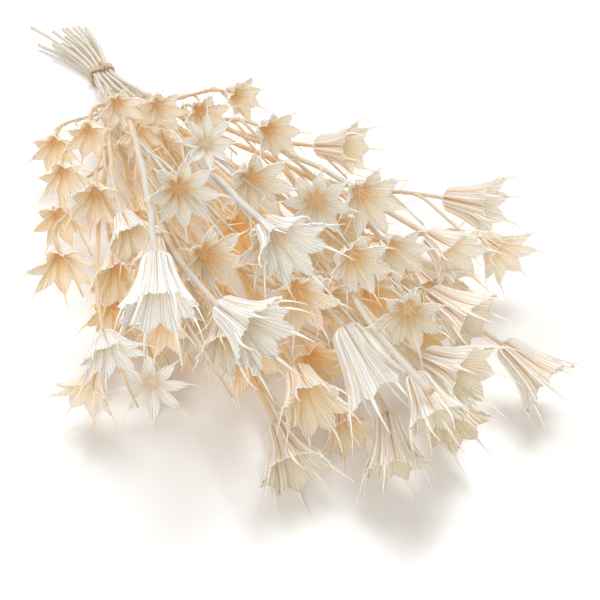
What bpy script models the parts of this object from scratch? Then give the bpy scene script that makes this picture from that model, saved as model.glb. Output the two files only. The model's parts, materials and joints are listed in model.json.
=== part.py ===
"""Tied bunch of bleached nigella seed pods, lying down.

Metres, +Z up.  The stems run along +Y towards their cut ends, the pods lie at -Y,
and the origin is the middle of the bottom of the bounding box.
Each branching spray of stem and pods is one closed solid; the tie is another.
The layout is worked out in millimetres in a frame whose origin lies on the floor
under the tie, and everything is moved to the final origin at the end.
"""
import math
from collections import namedtuple

import bmesh
import bpy
import numpy as np
from mathutils import kdtree

MM = 0.001
SEED = 41

# Where the photo was taken from, in the layout frame, and its picture geometry.
VIEW_POINT = np.array([-125.0, -554.0, 285.0])
VIEW_HEADING = math.radians(28.0)
VIEW_PITCH = math.radians(43.0)
VIEW_FOCAL = 781.0
VIEW_CENTRE = 300.0

# One pod: photo pixels of its foot and of the middle of its mouth, height of the foot,
# how far it has opened (0 closed funnel, 1 flat star), relative size, follicles.
Pod = namedtuple("Pod", "foot_px mouth_px height spread size follicles", defaults=(1.0, 7))

PODS = [
    Pod(foot_px=(388, 419), mouth_px=(396, 468), height=20, spread=0.35, size=1.10, follicles=8),
    Pod(foot_px=(277, 417), mouth_px=(292, 452), height=20, spread=0.35, follicles=8),
    Pod(foot_px=(153, 384), mouth_px=(152, 392), height=13, spread=1.00, size=0.55, follicles=8),
    Pod(foot_px=(102, 321), mouth_px=(112, 351), height=46, spread=0.70, follicles=8),
    Pod(foot_px=(92, 372), mouth_px=(80, 400), height=16, spread=0.60, size=0.90),
    Pod(foot_px=(165, 310), mouth_px=(161, 333), height=45, spread=0.50, size=0.80),
    Pod(foot_px=(217, 327), mouth_px=(220, 358), height=40, spread=0.35, follicles=8),
    Pod(foot_px=(196, 303), mouth_px=(194, 333), height=35, spread=0.35),
    Pod(foot_px=(298, 367), mouth_px=(311, 397), height=35, spread=0.35, follicles=8),
    Pod(foot_px=(334, 320), mouth_px=(361, 368), height=56, spread=0.35, size=1.15, follicles=8),
    Pod(foot_px=(400, 372), mouth_px=(420, 415), height=50, spread=0.35, follicles=8),
    Pod(foot_px=(500, 350), mouth_px=(533, 380), height=22, spread=0.35, follicles=8),
    Pod(foot_px=(429, 292), mouth_px=(464, 315), height=48, spread=0.35, follicles=8),
    Pod(foot_px=(406, 358), mouth_px=(444, 374), height=46, spread=0.40),
    Pod(foot_px=(391, 306), mouth_px=(393, 322), height=62, spread=0.65),
    Pod(foot_px=(442, 202), mouth_px=(478, 209), height=52, spread=0.40, follicles=8),
    Pod(foot_px=(485, 237), mouth_px=(506, 254), height=30, spread=0.60),
    Pod(foot_px=(424, 243), mouth_px=(450, 262), height=50, spread=0.50),
    Pod(foot_px=(410, 258), mouth_px=(432, 282), height=38, spread=0.40),
    Pod(foot_px=(352, 187), mouth_px=(367, 200), height=70, spread=0.60),
    Pod(foot_px=(315, 146), mouth_px=(345, 147), height=50, spread=0.30),
    Pod(foot_px=(284, 219), mouth_px=(306, 240), height=86, spread=0.50, follicles=8),
    Pod(foot_px=(297, 284), mouth_px=(303, 303), height=56, spread=0.60),
    Pod(foot_px=(229, 296), mouth_px=(262, 317), height=70, spread=0.40, follicles=8),
    Pod(foot_px=(181, 243), mouth_px=(184, 290), height=84, spread=0.35, size=1.15, follicles=8),
    Pod(foot_px=(180, 186), mouth_px=(188, 196), height=80, spread=0.70, follicles=8),
    Pod(foot_px=(212, 143), mouth_px=(218, 140), height=82, spread=0.85, size=0.80, follicles=8),
    Pod(foot_px=(250, 176), mouth_px=(260, 188), height=72, spread=0.65),
    Pod(foot_px=(315, 200), mouth_px=(316, 204), height=70, spread=0.80, size=0.60, follicles=8),
    Pod(foot_px=(203, 243), mouth_px=(217, 252), height=60, spread=0.60),
    Pod(foot_px=(238, 220), mouth_px=(247, 232), height=38, spread=0.55),
    Pod(foot_px=(262, 232), mouth_px=(268, 247), height=58, spread=0.50),
    Pod(foot_px=(149, 235), mouth_px=(148, 258), height=55, spread=0.30, size=0.80),
    Pod(foot_px=(121, 214), mouth_px=(131, 236), height=60, spread=0.45, size=0.85),
    Pod(foot_px=(73, 252), mouth_px=(80, 274), height=44, spread=0.75),
    Pod(foot_px=(106, 250), mouth_px=(110, 272), height=40, spread=0.40),
    Pod(foot_px=(60, 170), mouth_px=(62, 184), height=36, spread=0.60, size=0.80),
    Pod(foot_px=(60, 206), mouth_px=(62, 218), height=22, spread=0.60, size=0.80),
    Pod(foot_px=(55, 136), mouth_px=(54, 148), height=28, spread=0.50, size=0.80),
    Pod(foot_px=(90, 125), mouth_px=(90, 138), height=45, spread=0.55, size=0.80),
    Pod(foot_px=(96, 188), mouth_px=(97, 203), height=50, spread=0.50, size=0.85),
    Pod(foot_px=(133, 192), mouth_px=(134, 212), height=45, spread=0.35, size=0.80),
    Pod(foot_px=(126, 105), mouth_px=(132, 115), height=50, spread=0.60, size=0.80),
    Pod(foot_px=(155, 103), mouth_px=(160, 112), height=50, spread=0.60, size=0.80),
    Pod(foot_px=(136, 123), mouth_px=(138, 134), height=42, spread=0.60, size=0.80),
    Pod(foot_px=(197, 108), mouth_px=(205, 116), height=58, spread=0.50, size=0.80),
    Pod(foot_px=(143, 278), mouth_px=(147, 296), height=22, spread=0.50),
    Pod(foot_px=(115, 288), mouth_px=(117, 306), height=18, spread=0.50, size=0.90),
    Pod(foot_px=(350, 248), mouth_px=(362, 264), height=60, spread=0.55),
    Pod(foot_px=(381, 238), mouth_px=(394, 250), height=60, spread=0.60, size=0.75),
    Pod(foot_px=(359, 285), mouth_px=(369, 302), height=38, spread=0.50),
    Pod(foot_px=(327, 292), mouth_px=(338, 308), height=42, spread=0.50, size=0.90),
    Pod(foot_px=(308, 344), mouth_px=(318, 362), height=28, spread=0.50, size=0.90),
    Pod(foot_px=(338, 395), mouth_px=(349, 422), height=16, spread=0.40, size=0.90),
    Pod(foot_px=(411, 322), mouth_px=(424, 340), height=30, spread=0.55, size=0.90),
    Pod(foot_px=(262, 127), mouth_px=(274, 134), height=62, spread=0.50, size=0.80),
    Pod(foot_px=(228, 92), mouth_px=(240, 97), height=48, spread=0.45, size=0.75),
    Pod(foot_px=(324, 220), mouth_px=(335, 232), height=42, spread=0.55, size=0.90),
    Pod(foot_px=(240, 335), mouth_px=(248, 355), height=20, spread=0.40, size=0.90),
    Pod(foot_px=(440, 395), mouth_px=(452, 418), height=18, spread=0.40, size=0.90),
]

# Pod shape, millimetres for size 1.
RIB_LENGTH = 26.0
FOOT_RADIUS = 1.2
SHOULDER = 0.14
BEAK_LENGTH = 9.5
BEAK_TILT = 0.5
LOBE_SHARE = 0.34
VALLEY_FOOT = 0.42
VALLEY_HEM = 0.90
WALL_DEEP = 1.3
WALL_HEM = 0.85

# Sprays and the tie.
WEDGES = 5
LAYERS = 3
SLOT_PITCH = 3.15
STEM_RADIUS = 1.4
STEM_END_RADIUS = 1.15
BRANCH_RADIUS = 1.0
TIE_CLEARANCE = 0.35
TIE_THICKNESS = 2.0
TIE_WIDTH = 8.0
TIE_CORNER = 1.8
WRAPS = 4
SLOT_FLOOR = TIE_THICKNESS + TIE_CLEARANCE + STEM_RADIUS
CUT_SHORT, CUT_LONG = 58.0, 84.0

# Relaxation of the layout, so that nothing passes through anything else.
GAP = 0.5
RELAX_STEPS = 560
SHRINK_FROM, SHRINK_EVERY = 200, 30
SHRINK_DEPTH, SHRINK_BY = 0.15, 0.96
SAMPLE_STEP = 4.0

POD_COLOUR = (0.86, 0.78, 0.66, 1.0)
TWINE_COLOUR = (0.62, 0.48, 0.31, 1.0)


def unit(vector):
    return vector / np.linalg.norm(vector)


def pixel_ray(pixel):
    """Direction in the layout frame of one pixel of the photo."""
    sh, ch = math.sin(VIEW_HEADING), math.cos(VIEW_HEADING)
    sp, cp = math.sin(VIEW_PITCH), math.cos(VIEW_PITCH)
    ahead = np.array([sh * cp, ch * cp, -sp])
    right = np.array([ch, -sh, 0.0])
    up = np.array([sh * sp, ch * sp, cp])
    return unit(ahead * VIEW_FOCAL + right * (pixel[0] - VIEW_CENTRE)
                + up * (VIEW_CENTRE - pixel[1]))


def place_pod(pod):
    """Foot point and axis of a pod, from its two pixels and its height."""
    ray = pixel_ray(pod.foot_px)
    foot = VIEW_POINT + ray * ((pod.height - VIEW_POINT[2]) / ray[2])
    ray = pixel_ray(pod.mouth_px)
    reach = pod.size * (24.0 - 12.0 * pod.spread)
    along = float(np.dot(foot - VIEW_POINT, ray))
    miss = float(np.linalg.norm(foot - VIEW_POINT - ray * along))
    along -= math.sqrt(max(0.0, reach ** 2 - miss ** 2))
    return foot, unit(VIEW_POINT + ray * along - foot)


def turn_to(axis, roll):
    """Rotation matrix that takes +Z to the axis, after a roll about it."""
    side = unit(np.cross(axis, (0.0, 0.0, 1.0) if abs(axis[2]) < 0.9 else (1.0, 0.0, 0.0)))
    other = np.cross(axis, side)
    first = side * math.cos(roll) + other * math.sin(roll)
    return np.column_stack([first, np.cross(axis, first), axis])


def rib_profile(spread):
    """Height, radius and slope along a rib, for size 1, at steps of its length."""
    steps = np.linspace(0.0, 1.0, 61)
    low = math.radians(7.0 + 50.0 * spread ** 3)
    hem = math.radians(12.0 + 62.0 * spread ** 1.6)
    rise = np.clip((steps - SHOULDER) / (1.0 - SHOULDER), 0.0, 1.0)
    slope = low + (hem - low) * rise ** 1.4
    blend = np.clip((steps - 0.5 * SHOULDER) / SHOULDER, 0.0, 1.0)
    slope = slope * blend + math.radians(76.0) * (1.0 - blend)
    stride = RIB_LENGTH * (steps[1] - steps[0])
    middle = 0.5 * (slope[1:] + slope[:-1])
    height = np.concatenate([[0.0], np.cumsum(np.cos(middle))]) * stride
    radius = np.concatenate([[0.0], np.cumsum(np.sin(middle))]) * stride + FOOT_RADIUS
    return steps, height, radius, slope


def rib_point(profile, share, inset=0.0):
    """Radius and height on a rib at a share of its length, inset along the wall."""
    steps, height, radius, slope = profile
    tilt = float(np.interp(share, steps, slope))
    return (float(np.interp(share, steps, radius)) - inset * math.cos(tilt),
            float(np.interp(share, steps, height)) + inset * math.sin(tilt))


def valley_depth(share):
    """Radius of the groove between two ribs, as a fraction of the rib radius."""
    return VALLEY_FOOT + (VALLEY_HEM - VALLEY_FOOT) * share ** 0.8


def notch(spread):
    """How far short of the hem of a rib the wall between two ribs ends."""
    return 0.06 + 0.22 * spread


def around(radius, height, angle, size):
    """Point at a radius, height and angle in the pod's own frame."""
    return (size * radius * math.cos(angle), size * radius * math.sin(angle), size * height)


def pod_shell(pod):
    """Faceted pod in its own frame, opening along +Z, left open at its first ring."""
    profile = rib_profile(pod.spread)
    size, count = pod.size, pod.follicles
    hem_valley = 1.0 - notch(pod.spread)
    lobe = LOBE_SHARE * math.pi / count
    floor_height = rib_point(profile, 0.5, WALL_DEEP / size)[1]
    verts, faces = [(0.0, 0.0, size * floor_height * 0.55)], []
    per = 12
    for k in range(count):
        rib = 2.0 * math.pi * k / count
        dip = rib + math.pi / count
        for share in (0.15, 0.55):
            r, h = rib_point(profile, share)
            verts.append(around(r, h, rib, size))
            verts.append(around(r * valley_depth(share), h + 0.4, dip, size))
        r, h = rib_point(profile, 0.97)
        verts.append(around(r * 0.985, h, rib - lobe, size))
        verts.append(around(r * 0.985, h, rib + lobe, size))
        rv, hv = rib_point(profile, hem_valley)
        verts.append(around(rv * valley_depth(hem_valley), hv, dip, size))
        r, h = rib_point(profile, 1.0)
        tilt = float(profile[3][-1]) * BEAK_TILT
        verts.append(around(r + BEAK_LENGTH * math.sin(tilt), h + BEAK_LENGTH * math.cos(tilt),
                            rib, size))
        r, h = rib_point(profile, 0.97, WALL_HEM / size)
        verts.append(around(r, h, rib, size))
        rv, hv = rib_point(profile, hem_valley, WALL_HEM / size)
        verts.append(around(rv * valley_depth(hem_valley), hv, dip, size))
        r, h = rib_point(profile, 0.55, WALL_DEEP / size)
        verts.append(around(r, h, rib, size))
        verts.append(around(max(r * valley_depth(0.55) - 0.3, 1.2), h + 0.4, dip, size))

    def at(k, item):
        return 1 + per * (k % count) + item

    for k in range(count):
        j = k - 1
        r1, v1, r2, v2, ba, bb, vh, tip, ih, iv, im, ivm = [at(k, i) for i in range(per)]
        p1, p2, ph, pih, pim = at(j, 1), at(j, 3), at(j, 6), at(j, 9), at(j, 11)
        faces += [(p1, p2, r1), (p2, r2, r1), (r1, r2, v1), (r2, v2, v1),
                  (p2, ph, r2), (ph, ba, r2), (ba, bb, r2), (r2, bb, v2), (bb, vh, v2),
                  (ba, tip, bb), (bb, tip, ih), (ih, tip, ba),
                  (ph, pih, ba), (pih, ih, ba), (bb, ih, vh), (ih, iv, vh),
                  (pih, pim, ih), (pim, im, ih), (im, ivm, ih), (ivm, iv, ih),
                  (0, im, pim), (0, ivm, im)]
    first_ring = [at(k, item) for k in range(count) for item in (0, 1)]
    return np.array(verts), faces, first_ring


def zip_rings(inner, outer):
    """Triangles between two rings, each a list of (angle, index) pairs."""
    inner, outer = sorted(inner), sorted(outer)
    faces, i, j = [], 0, 0
    while i < len(inner) or j < len(outer):
        next_i = inner[(i + 1) % len(inner)][0] + math.tau * ((i + 1) // len(inner))
        next_j = outer[(j + 1) % len(outer)][0] + math.tau * ((j + 1) // len(outer))
        here = (inner[i % len(inner)][1], outer[j % len(outer)][1])
        if j >= len(outer) or (i < len(inner) and next_i < next_j):
            faces.append((here[0], here[1], inner[(i + 1) % len(inner)][1]))
            i += 1
        else:
            faces.append((here[0], here[1], outer[(j + 1) % len(outer)][1]))
            j += 1
    return faces


def guard_points(pod):
    """Points and radii that stand for a pod while the layout is relaxed."""
    profile = rib_profile(pod.spread)
    points, radii, kinds = [(0.0, 0.0, 1.0)], [1.6], [0]
    tilt = float(profile[3][-1]) * BEAK_TILT
    for k in range(2 * pod.follicles):
        angle = math.pi * k / pod.follicles
        is_rib = k % 2 == 0
        top = 1.0 if is_rib else 1.0 - notch(pod.spread)
        for part in (0.25, 0.44, 0.63, 0.82, 1.0):
            share = part * top
            r, h = rib_point(profile, share, 0.5)
            r *= 1.0 if is_rib else valley_depth(share)
            points.append(around(r, h, angle, pod.size))
            radii.append(1.1)
            kinds.append(0)
        if is_rib:
            r, h = rib_point(profile, 1.0)
            for part in (0.2, 0.6, 0.95):
                out = BEAK_LENGTH * part
                points.append(around(r + out * math.sin(tilt), h + out * math.cos(tilt),
                                     angle, pod.size))
                radii.append(1.5 - 0.7 * part)
                kinds.append(1)
    return np.array(points), np.array(radii), np.array(kinds)


def even_curve(corners, spacing):
    """Evenly spaced points along a cubic curve through four control corners."""
    t = np.linspace(0.0, 1.0, 81)[:, None]
    a, b, c, d = corners
    curve = ((1 - t) ** 3 * a + 3 * t * (1 - t) ** 2 * b + 3 * t * t * (1 - t) * c + t ** 3 * d)
    length = np.concatenate([[0.0], np.cumsum(np.linalg.norm(np.diff(curve, axis=0), axis=1))])
    count = max(3, int(round(length[-1] / spacing)) + 1)
    marks = np.linspace(0.0, length[-1], count)
    return np.column_stack([np.interp(marks, length, curve[:, i]) for i in range(3)])


# One stem or branch: its control points, the pod it carries, its spray, the strand it
# grows from with the place on it, its radii and how many first points are held still.
Strand = namedtuple("Strand", "points pod spray parent place radius end_radius held")


def sort_into_sprays(feet):
    """Pods grouped by direction seen from the tie, five wedges of three layers."""
    bearing = np.arctan2(feet[:, 0], -feet[:, 1])
    lift = np.arctan2(feet[:, 2] - 10.0, np.hypot(feet[:, 0], feet[:, 1]))
    sprays = []
    for wedge in np.array_split(np.argsort(bearing), WEDGES):
        by_lift = wedge[np.argsort(lift[wedge])]
        sprays += [list(cell) for cell in np.array_split(by_lift, LAYERS)]
    return sprays


def grow_strands(feet, axes, rng):
    strands = []
    for number, members in enumerate(sort_into_sprays(feet)):
        wedge, layer = divmod(number, LAYERS)
        slot = np.array([(wedge - 0.5 * (WEDGES - 1)) * SLOT_PITCH, 0.0,
                         SLOT_FLOOR + layer * SLOT_PITCH])
        members = sorted(members, key=lambda i: -float(np.hypot(feet[i, 0], feet[i, 1])))
        lead = members[0]
        far = float(np.linalg.norm(feet[lead] - slot))
        cut = CUT_SHORT + (CUT_LONG - CUT_SHORT) * rng.random()
        tail = []
        for y in (cut, 0.62 * cut, 0.3 * cut, 7.0):
            out = max(0.0, y - 7.0) / 60.0
            tail.append([slot[0] * (1.0 + 1.5 * out) - 7.0 * out * out, y,
                         SLOT_FLOOR + layer * SLOT_PITCH * (1.0 + 0.9 * out)])
        start = slot + np.array([0.0, -7.0, 0.0])
        leave = unit(unit(feet[lead] - start) + np.array([0.0, -1.2, 0.1]))
        corners = (start, start + leave * far * 0.36,
                   feet[lead] - axes[lead] * min(45.0, far * 0.2)
                   + unit(start - feet[lead]) * far * 0.08, feet[lead])
        main = np.vstack([tail, even_curve(corners, 26.0)])
        root = len(strands)
        strands.append(Strand(main, lead, number, None, 0.0, STEM_RADIUS, STEM_END_RADIUS, 5))
        reach = np.linalg.norm(main - slot, axis=1)
        for pod in members[1:]:
            away = float(np.linalg.norm(feet[pod] - slot))
            wanted = min(max(away - rng.uniform(55.0, 90.0), 0.22 * away), 0.92 * far)
            place = float(np.interp(wanted, reach[5:], np.arange(5, len(main))))
            low = min(int(place), len(main) - 2)
            begin = main[low] + (main[low + 1] - main[low]) * (place - low)
            along = unit(main[low + 1] - main[low])
            span = float(np.linalg.norm(feet[pod] - begin))
            corners = (begin, begin + unit(along + 0.5 * unit(feet[pod] - begin)) * span * 0.35,
                       feet[pod] - axes[pod] * min(26.0, span * 0.4), feet[pod])
            strands.append(Strand(even_curve(corners, 15.0), pod, number, root, place,
                                  BRANCH_RADIUS, BRANCH_RADIUS, 1))
    return strands


def spread_matrix(strands):
    """Rows that take all control points to samples a few millimetres apart."""
    starts = np.cumsum([0] + [len(s.points) for s in strands])
    rows, owners, radii = [], [], []
    for index, strand in enumerate(strands):
        first = 4 if strand.parent is None else 0
        for low in range(first, len(strand.points) - 1):
            gap = float(np.linalg.norm(strand.points[low + 1] - strand.points[low]))
            count = max(1, int(round(gap / SAMPLE_STEP)))
            for part in range(count):
                rows.append((starts[index] + low, part / count))
                owners.append(index)
                share = low / (len(strand.points) - 1)
                radii.append(strand.radius + (strand.end_radius - strand.radius) * share)
    matrix = np.zeros((len(rows), starts[-1]))
    for row, (column, part) in enumerate(rows):
        matrix[row, column] = 1.0 - part
        matrix[row, column + 1] = part
    return matrix, np.array(owners), np.array(radii), starts


def near_pairs(points, reach, owner):
    tree = kdtree.KDTree(len(points))
    for index, point in enumerate(points):
        tree.insert(point, index)
    tree.balance()
    pairs = [(index, other) for index, point in enumerate(points)
             for _, other, _ in tree.find_range(point, reach)
             if other > index and owner[index] != owner[other]]
    return np.array(pairs)


def push_out(points, radius, foot, turn, shape):
    """Shortest ways that take points out of the filled cone of one pod."""
    heights, radii, size = shape
    local = (points - foot) @ turn
    level = local[:, 2]
    across = np.maximum(np.hypot(local[:, 0], local[:, 1]), 1e-3)
    out = np.interp(level / size, heights, radii) * size + radius + GAP - across
    up = heights[-1] * size + radius - level
    inside = np.flatnonzero((level > -0.5) & (out > 0.0) & (up > 0.0))
    sideways = out[inside] <= up[inside]
    way = np.zeros((len(inside), 3))
    share = out[inside] / across[inside] * sideways
    way[:, 0] = local[inside, 0] * share
    way[:, 1] = local[inside, 1] * share
    way[:, 2] = np.where(sideways, 0.0, up[inside])
    return inside, way @ turn.T


def relax(feet, turns, strands):
    """Move pods and stems apart, and shrink the pods that stay wedged.

    Returns the moved feet, the moved control points, their starts and the pods' scales.
    """
    guards = [guard_points(pod) for pod in PODS]
    offsets = np.vstack([g[0] @ turn.T for g, turn in zip(guards, turns)])
    guard_pod = np.concatenate([[i] * len(g[0]) for i, g in enumerate(guards)])
    lowest = np.array([(pod_shell(pod)[0] @ turn.T)[:, 2].min()
                       for pod, turn in zip(PODS, turns)])
    profiles = [rib_profile(pod.spread) for pod in PODS]
    sizes = np.array([pod.size for pod in PODS])
    scale = np.ones(len(PODS))
    matrix, sample_strand, sample_radius, starts = spread_matrix(strands)
    controls0 = np.vstack([s.points for s in strands])
    spray_of_pod = np.zeros(len(PODS), int)
    for strand in strands:
        spray_of_pod[strand.pod] = strand.spray
    owner = np.concatenate([guard_pod, [strands[i].pod for i in sample_strand]])
    spray = spray_of_pod[owner]
    guard_count = len(guard_pod)
    is_stem = np.arange(len(owner)) >= guard_count
    is_beak = np.concatenate([np.concatenate([g[2] for g in guards]) == 1,
                              np.zeros(len(sample_strand), bool)])
    radius = np.concatenate([np.concatenate([g[1] for g in guards]), sample_radius])
    solid = np.flatnonzero(~is_beak)
    shift = np.zeros((len(PODS), 3))
    bend = np.zeros_like(controls0)
    rays = np.array([unit(foot - VIEW_POINT) for foot in feet])
    for step in range(RELAX_STEPS):
        points = np.vstack([feet[guard_pod] + shift[guard_pod]
                            + offsets * scale[guard_pod][:, None],
                            matrix @ (controls0 + bend)])
        if step % 14 == 0:
            pairs = near_pairs(points, 7.0, owner)
            a, b = pairs[:, 0], pairs[:, 1]
            keep = (is_beak[a] | is_beak[b]
                    | (is_stem[a] & is_stem[b] & (spray[a] != spray[b])))
            a, b = a[keep], b[keep]
            need = radius[a] + radius[b] + GAP
            nearby = [solid[(np.abs(points[solid] - feet[i] - shift[i]).max(axis=1) < 45.0)
                            & (owner[solid] != i)] for i in range(len(PODS))]
        total = np.zeros_like(points)
        count = np.zeros(len(points))
        delta = points[a] - points[b]
        distance = np.maximum(np.linalg.norm(delta, axis=1), 1e-6)
        hit = need > distance
        push = delta[hit] * (0.55 * (need - distance)[hit] / distance[hit])[:, None]
        worst = np.zeros(len(PODS))
        np.maximum.at(worst, owner[a[hit]], (need - distance)[hit])
        np.maximum.at(worst, owner[b[hit]], (need - distance)[hit])
        np.add.at(total, a[hit], push)
        np.add.at(total, b[hit], -push)
        np.add.at(count, a[hit], 1.0)
        np.add.at(count, b[hit], 1.0)
        pod_total = np.zeros_like(shift)
        pod_count = np.zeros(len(PODS))
        for index, (turn, profile) in enumerate(zip(turns, profiles)):
            foot = feet[index] + shift[index]
            near = nearby[index]
            shape = (profile[1], profile[2], sizes[index] * scale[index])
            inside, way = push_out(points[near], radius[near], foot, turn, shape)
            if len(inside):
                depth = np.linalg.norm(way, axis=1)
                worst[index] = max(worst[index], depth.max())
                np.maximum.at(worst, owner[near[inside]], depth)
                way *= np.minimum(1.0, 3.0 / depth)[:, None]
                total[near[inside]] += 0.6 * way
                count[near[inside]] += 1.0
                pod_total[index] -= 0.4 * way.sum(axis=0)
                pod_count[index] += len(inside)
        if step >= SHRINK_FROM and step % SHRINK_EVERY == 0:
            scale[worst > GAP + SHRINK_DEPTH] *= SHRINK_BY
        np.add.at(pod_total, guard_pod, total[:guard_count])
        np.add.at(pod_count, guard_pod, count[:guard_count])
        move = pod_total / np.maximum(pod_count, 1.0)[:, None]
        along = np.sum(move * rays, axis=1)[:, None] * rays
        shift += 1.3 * along + 0.9 * (move - along)
        clear = feet[:, 2] + shift[:, 2] + lowest * scale
        shift[:, 2] -= np.where(clear < 0.0, clear, np.where(clear < 7.0, 0.1 * clear, 0.0))
        mean = total[guard_count:] / np.maximum(count[guard_count:], 1.0)[:, None]
        weight = matrix.T @ (count[guard_count:] > 0).astype(float)
        bend += (matrix.T @ mean) / np.maximum(weight, 0.35)[:, None]
        for index, strand in enumerate(strands):
            first, last = starts[index], starts[index + 1]
            part = bend[first:last]
            part[1:-1] += 0.12 * (0.5 * (part[2:] + part[:-2]) - part[1:-1])
            # A stem whose end is pushed takes its pod along.
            shift[strand.pod] += 0.4 * (part[-2] - shift[strand.pod])
            if strand.parent is None:
                part[:strand.held] = 0.0
            else:
                host = starts[strand.parent]
                low = min(int(strand.place), starts[strand.parent + 1] - host - 2)
                share = strand.place - low
                part[0] = bend[host + low] * (1.0 - share) + bend[host + low + 1] * share
            level = controls0[first:last, 2] + part[:, 2]
            part[:, 2] += np.maximum(strand.radius + 0.5 - level, 0.0)
            part[-2:] = shift[strand.pod]
    # The lowest pods end exactly on the floor, and no pod ends under it.
    clear = feet[:, 2] + shift[:, 2] + lowest * scale
    shift[:, 2] -= np.where(clear < 1.0, clear, 0.0)
    for index, strand in enumerate(strands):
        bend[starts[index + 1] - 2:starts[index + 1]] = shift[strand.pod]
    return feet + shift, controls0 + bend, starts, scale


def lay_out():
    """Pods, feet, turning matrices and strands of the whole bunch, in millimetres."""
    rng = np.random.default_rng(SEED)
    placed = [place_pod(pod) for pod in PODS]
    feet = np.array([foot for foot, _ in placed])
    axes = np.array([axis for _, axis in placed])
    turns = [turn_to(axis, rng.uniform(0.0, math.tau)) for axis in axes]
    strands = grow_strands(feet, axes, rng)
    feet, controls, starts, scale = relax(feet, turns, strands)
    pods = [pod._replace(size=pod.size * factor) for pod, factor in zip(PODS, scale)]
    strands = [s._replace(points=controls[starts[i]:starts[i + 1]])
               for i, s in enumerate(strands)]
    return pods, feet, turns, strands


def strand_mesh(points, radii, sides, pod, turn):
    """Closed solid of a stem and the pod at its last point, grown as one skin."""
    points = np.asarray(points, float)
    legs = np.diff(points, axis=0)
    legs /= np.linalg.norm(legs, axis=1)[:, None]
    ways = np.vstack([legs[:1], legs[1:] + legs[:-1], turn[:, 2][None]])
    ways /= np.linalg.norm(ways, axis=1)[:, None]
    side = unit(np.cross(ways[0], (0.0, 0.0, 1.0)))
    verts, faces = [], []
    for point, way, radius in zip(points, ways, radii):
        side = unit(side - way * np.dot(side, way))
        other = np.cross(way, side)
        for k in range(sides):
            angle = math.tau * k / sides
            verts.append(point + radius * (side * math.cos(angle) + other * math.sin(angle)))
    for ring in range(len(points) - 1):
        low, high = ring * sides, (ring + 1) * sides
        for k in range(sides):
            n = (k + 1) % sides
            faces.append((low + k, low + n, high + n, high + k))
    faces.append(tuple(range(sides)))
    shell, shell_faces, ring = pod_shell(pod)
    count = len(verts)
    verts = np.vstack([verts, shell @ turn.T + points[-1]])
    faces += [tuple(count + i for i in face) for face in shell_faces]

    def angles(indices):
        local = (verts[indices] - points[-1]) @ turn
        return [(math.atan2(y, x) % math.tau, i) for (x, y), i in zip(local[:, :2], indices)]

    faces += zip_rings(angles(list(range(count - sides, count))),
                       angles([count + i for i in ring]))
    return verts, faces


def tie_mesh():
    """Flat-bottomed band of wound twine round the stems."""
    inner_x = 0.5 * (WEDGES - 1) * SLOT_PITCH + STEM_RADIUS + TIE_CLEARANCE
    inner_z = 0.5 * (LAYERS - 1) * SLOT_PITCH + STEM_RADIUS + TIE_CLEARANCE
    middle = SLOT_FLOOR + 0.5 * (LAYERS - 1) * SLOT_PITCH
    wrap = TIE_WIDTH / WRAPS
    section = [(-0.5 * TIE_WIDTH, 0.0), (-0.5 * TIE_WIDTH, TIE_THICKNESS - 0.5)]
    for k in range(WRAPS):
        left = -0.5 * TIE_WIDTH + k * wrap
        section += [(left + 0.22 * wrap, TIE_THICKNESS), (left + 0.78 * wrap, TIE_THICKNESS),
                    (left + wrap, TIE_THICKNESS - 0.5)]
    section.append((0.5 * TIE_WIDTH, 0.0))
    verts, faces = [], []
    corners = [(1, 1, 0.0), (-1, 1, 90.0), (-1, -1, 180.0), (1, -1, 270.0)]
    for sx, sz, start in corners:
        for part in range(4):
            angle = math.radians(start + 30.0 * part)
            for y, out in section:
                reach = TIE_CORNER + out
                verts.append((sx * (inner_x - TIE_CORNER) + reach * math.cos(angle), y,
                              middle + sz * (inner_z - TIE_CORNER) + reach * math.sin(angle)))
    per, turns = len(section), 16
    for ring in range(turns):
        after = (ring + 1) % turns
        for k in range(per):
            n = (k + 1) % per
            faces.append((ring * per + k, ring * per + n, after * per + n, after * per + k))
    return np.array(verts), faces


def mesh_object(name, verts, faces, material):
    mesh = bpy.data.meshes.new(name)
    mesh.from_pydata([tuple(v) for v in np.asarray(verts) * MM], [], faces)
    clean = bmesh.new()
    clean.from_mesh(mesh)
    bmesh.ops.triangulate(clean, faces=clean.faces[:])
    bmesh.ops.recalc_face_normals(clean, faces=clean.faces[:])
    clean.to_mesh(mesh)
    clean.free()
    mesh.materials.append(material)
    item = bpy.data.objects.new(name, mesh)
    bpy.context.scene.collection.objects.link(item)
    return item


def fuse(name, pieces):
    """One closed solid from the overlapping pieces."""
    base, rest = pieces[0], pieces[1:]
    base.name = base.data.name = name
    if rest:
        group = bpy.data.collections.new(name + "_pieces")
        for piece in rest:
            group.objects.link(piece)
        union = base.modifiers.new("union", "BOOLEAN")
        union.operation = "UNION"
        union.solver = "MANIFOLD"
        union.operand_type = "COLLECTION"
        union.collection = group
        bpy.context.view_layer.update()
        graph = bpy.context.evaluated_depsgraph_get()
        mesh = bpy.data.meshes.new_from_object(base.evaluated_get(graph))
        base.modifiers.remove(union)
        base.data = mesh
        mesh.name = name
        for piece in rest:
            bpy.data.objects.remove(piece)
        bpy.data.collections.remove(group)
    return base


def plain_material(name, colour, roughness):
    material = bpy.data.materials.new(name)
    material.use_nodes = True
    shader = material.node_tree.nodes["Principled BSDF"]
    shader.inputs["Base Color"].default_value = colour
    shader.inputs["Roughness"].default_value = roughness
    return material


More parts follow.
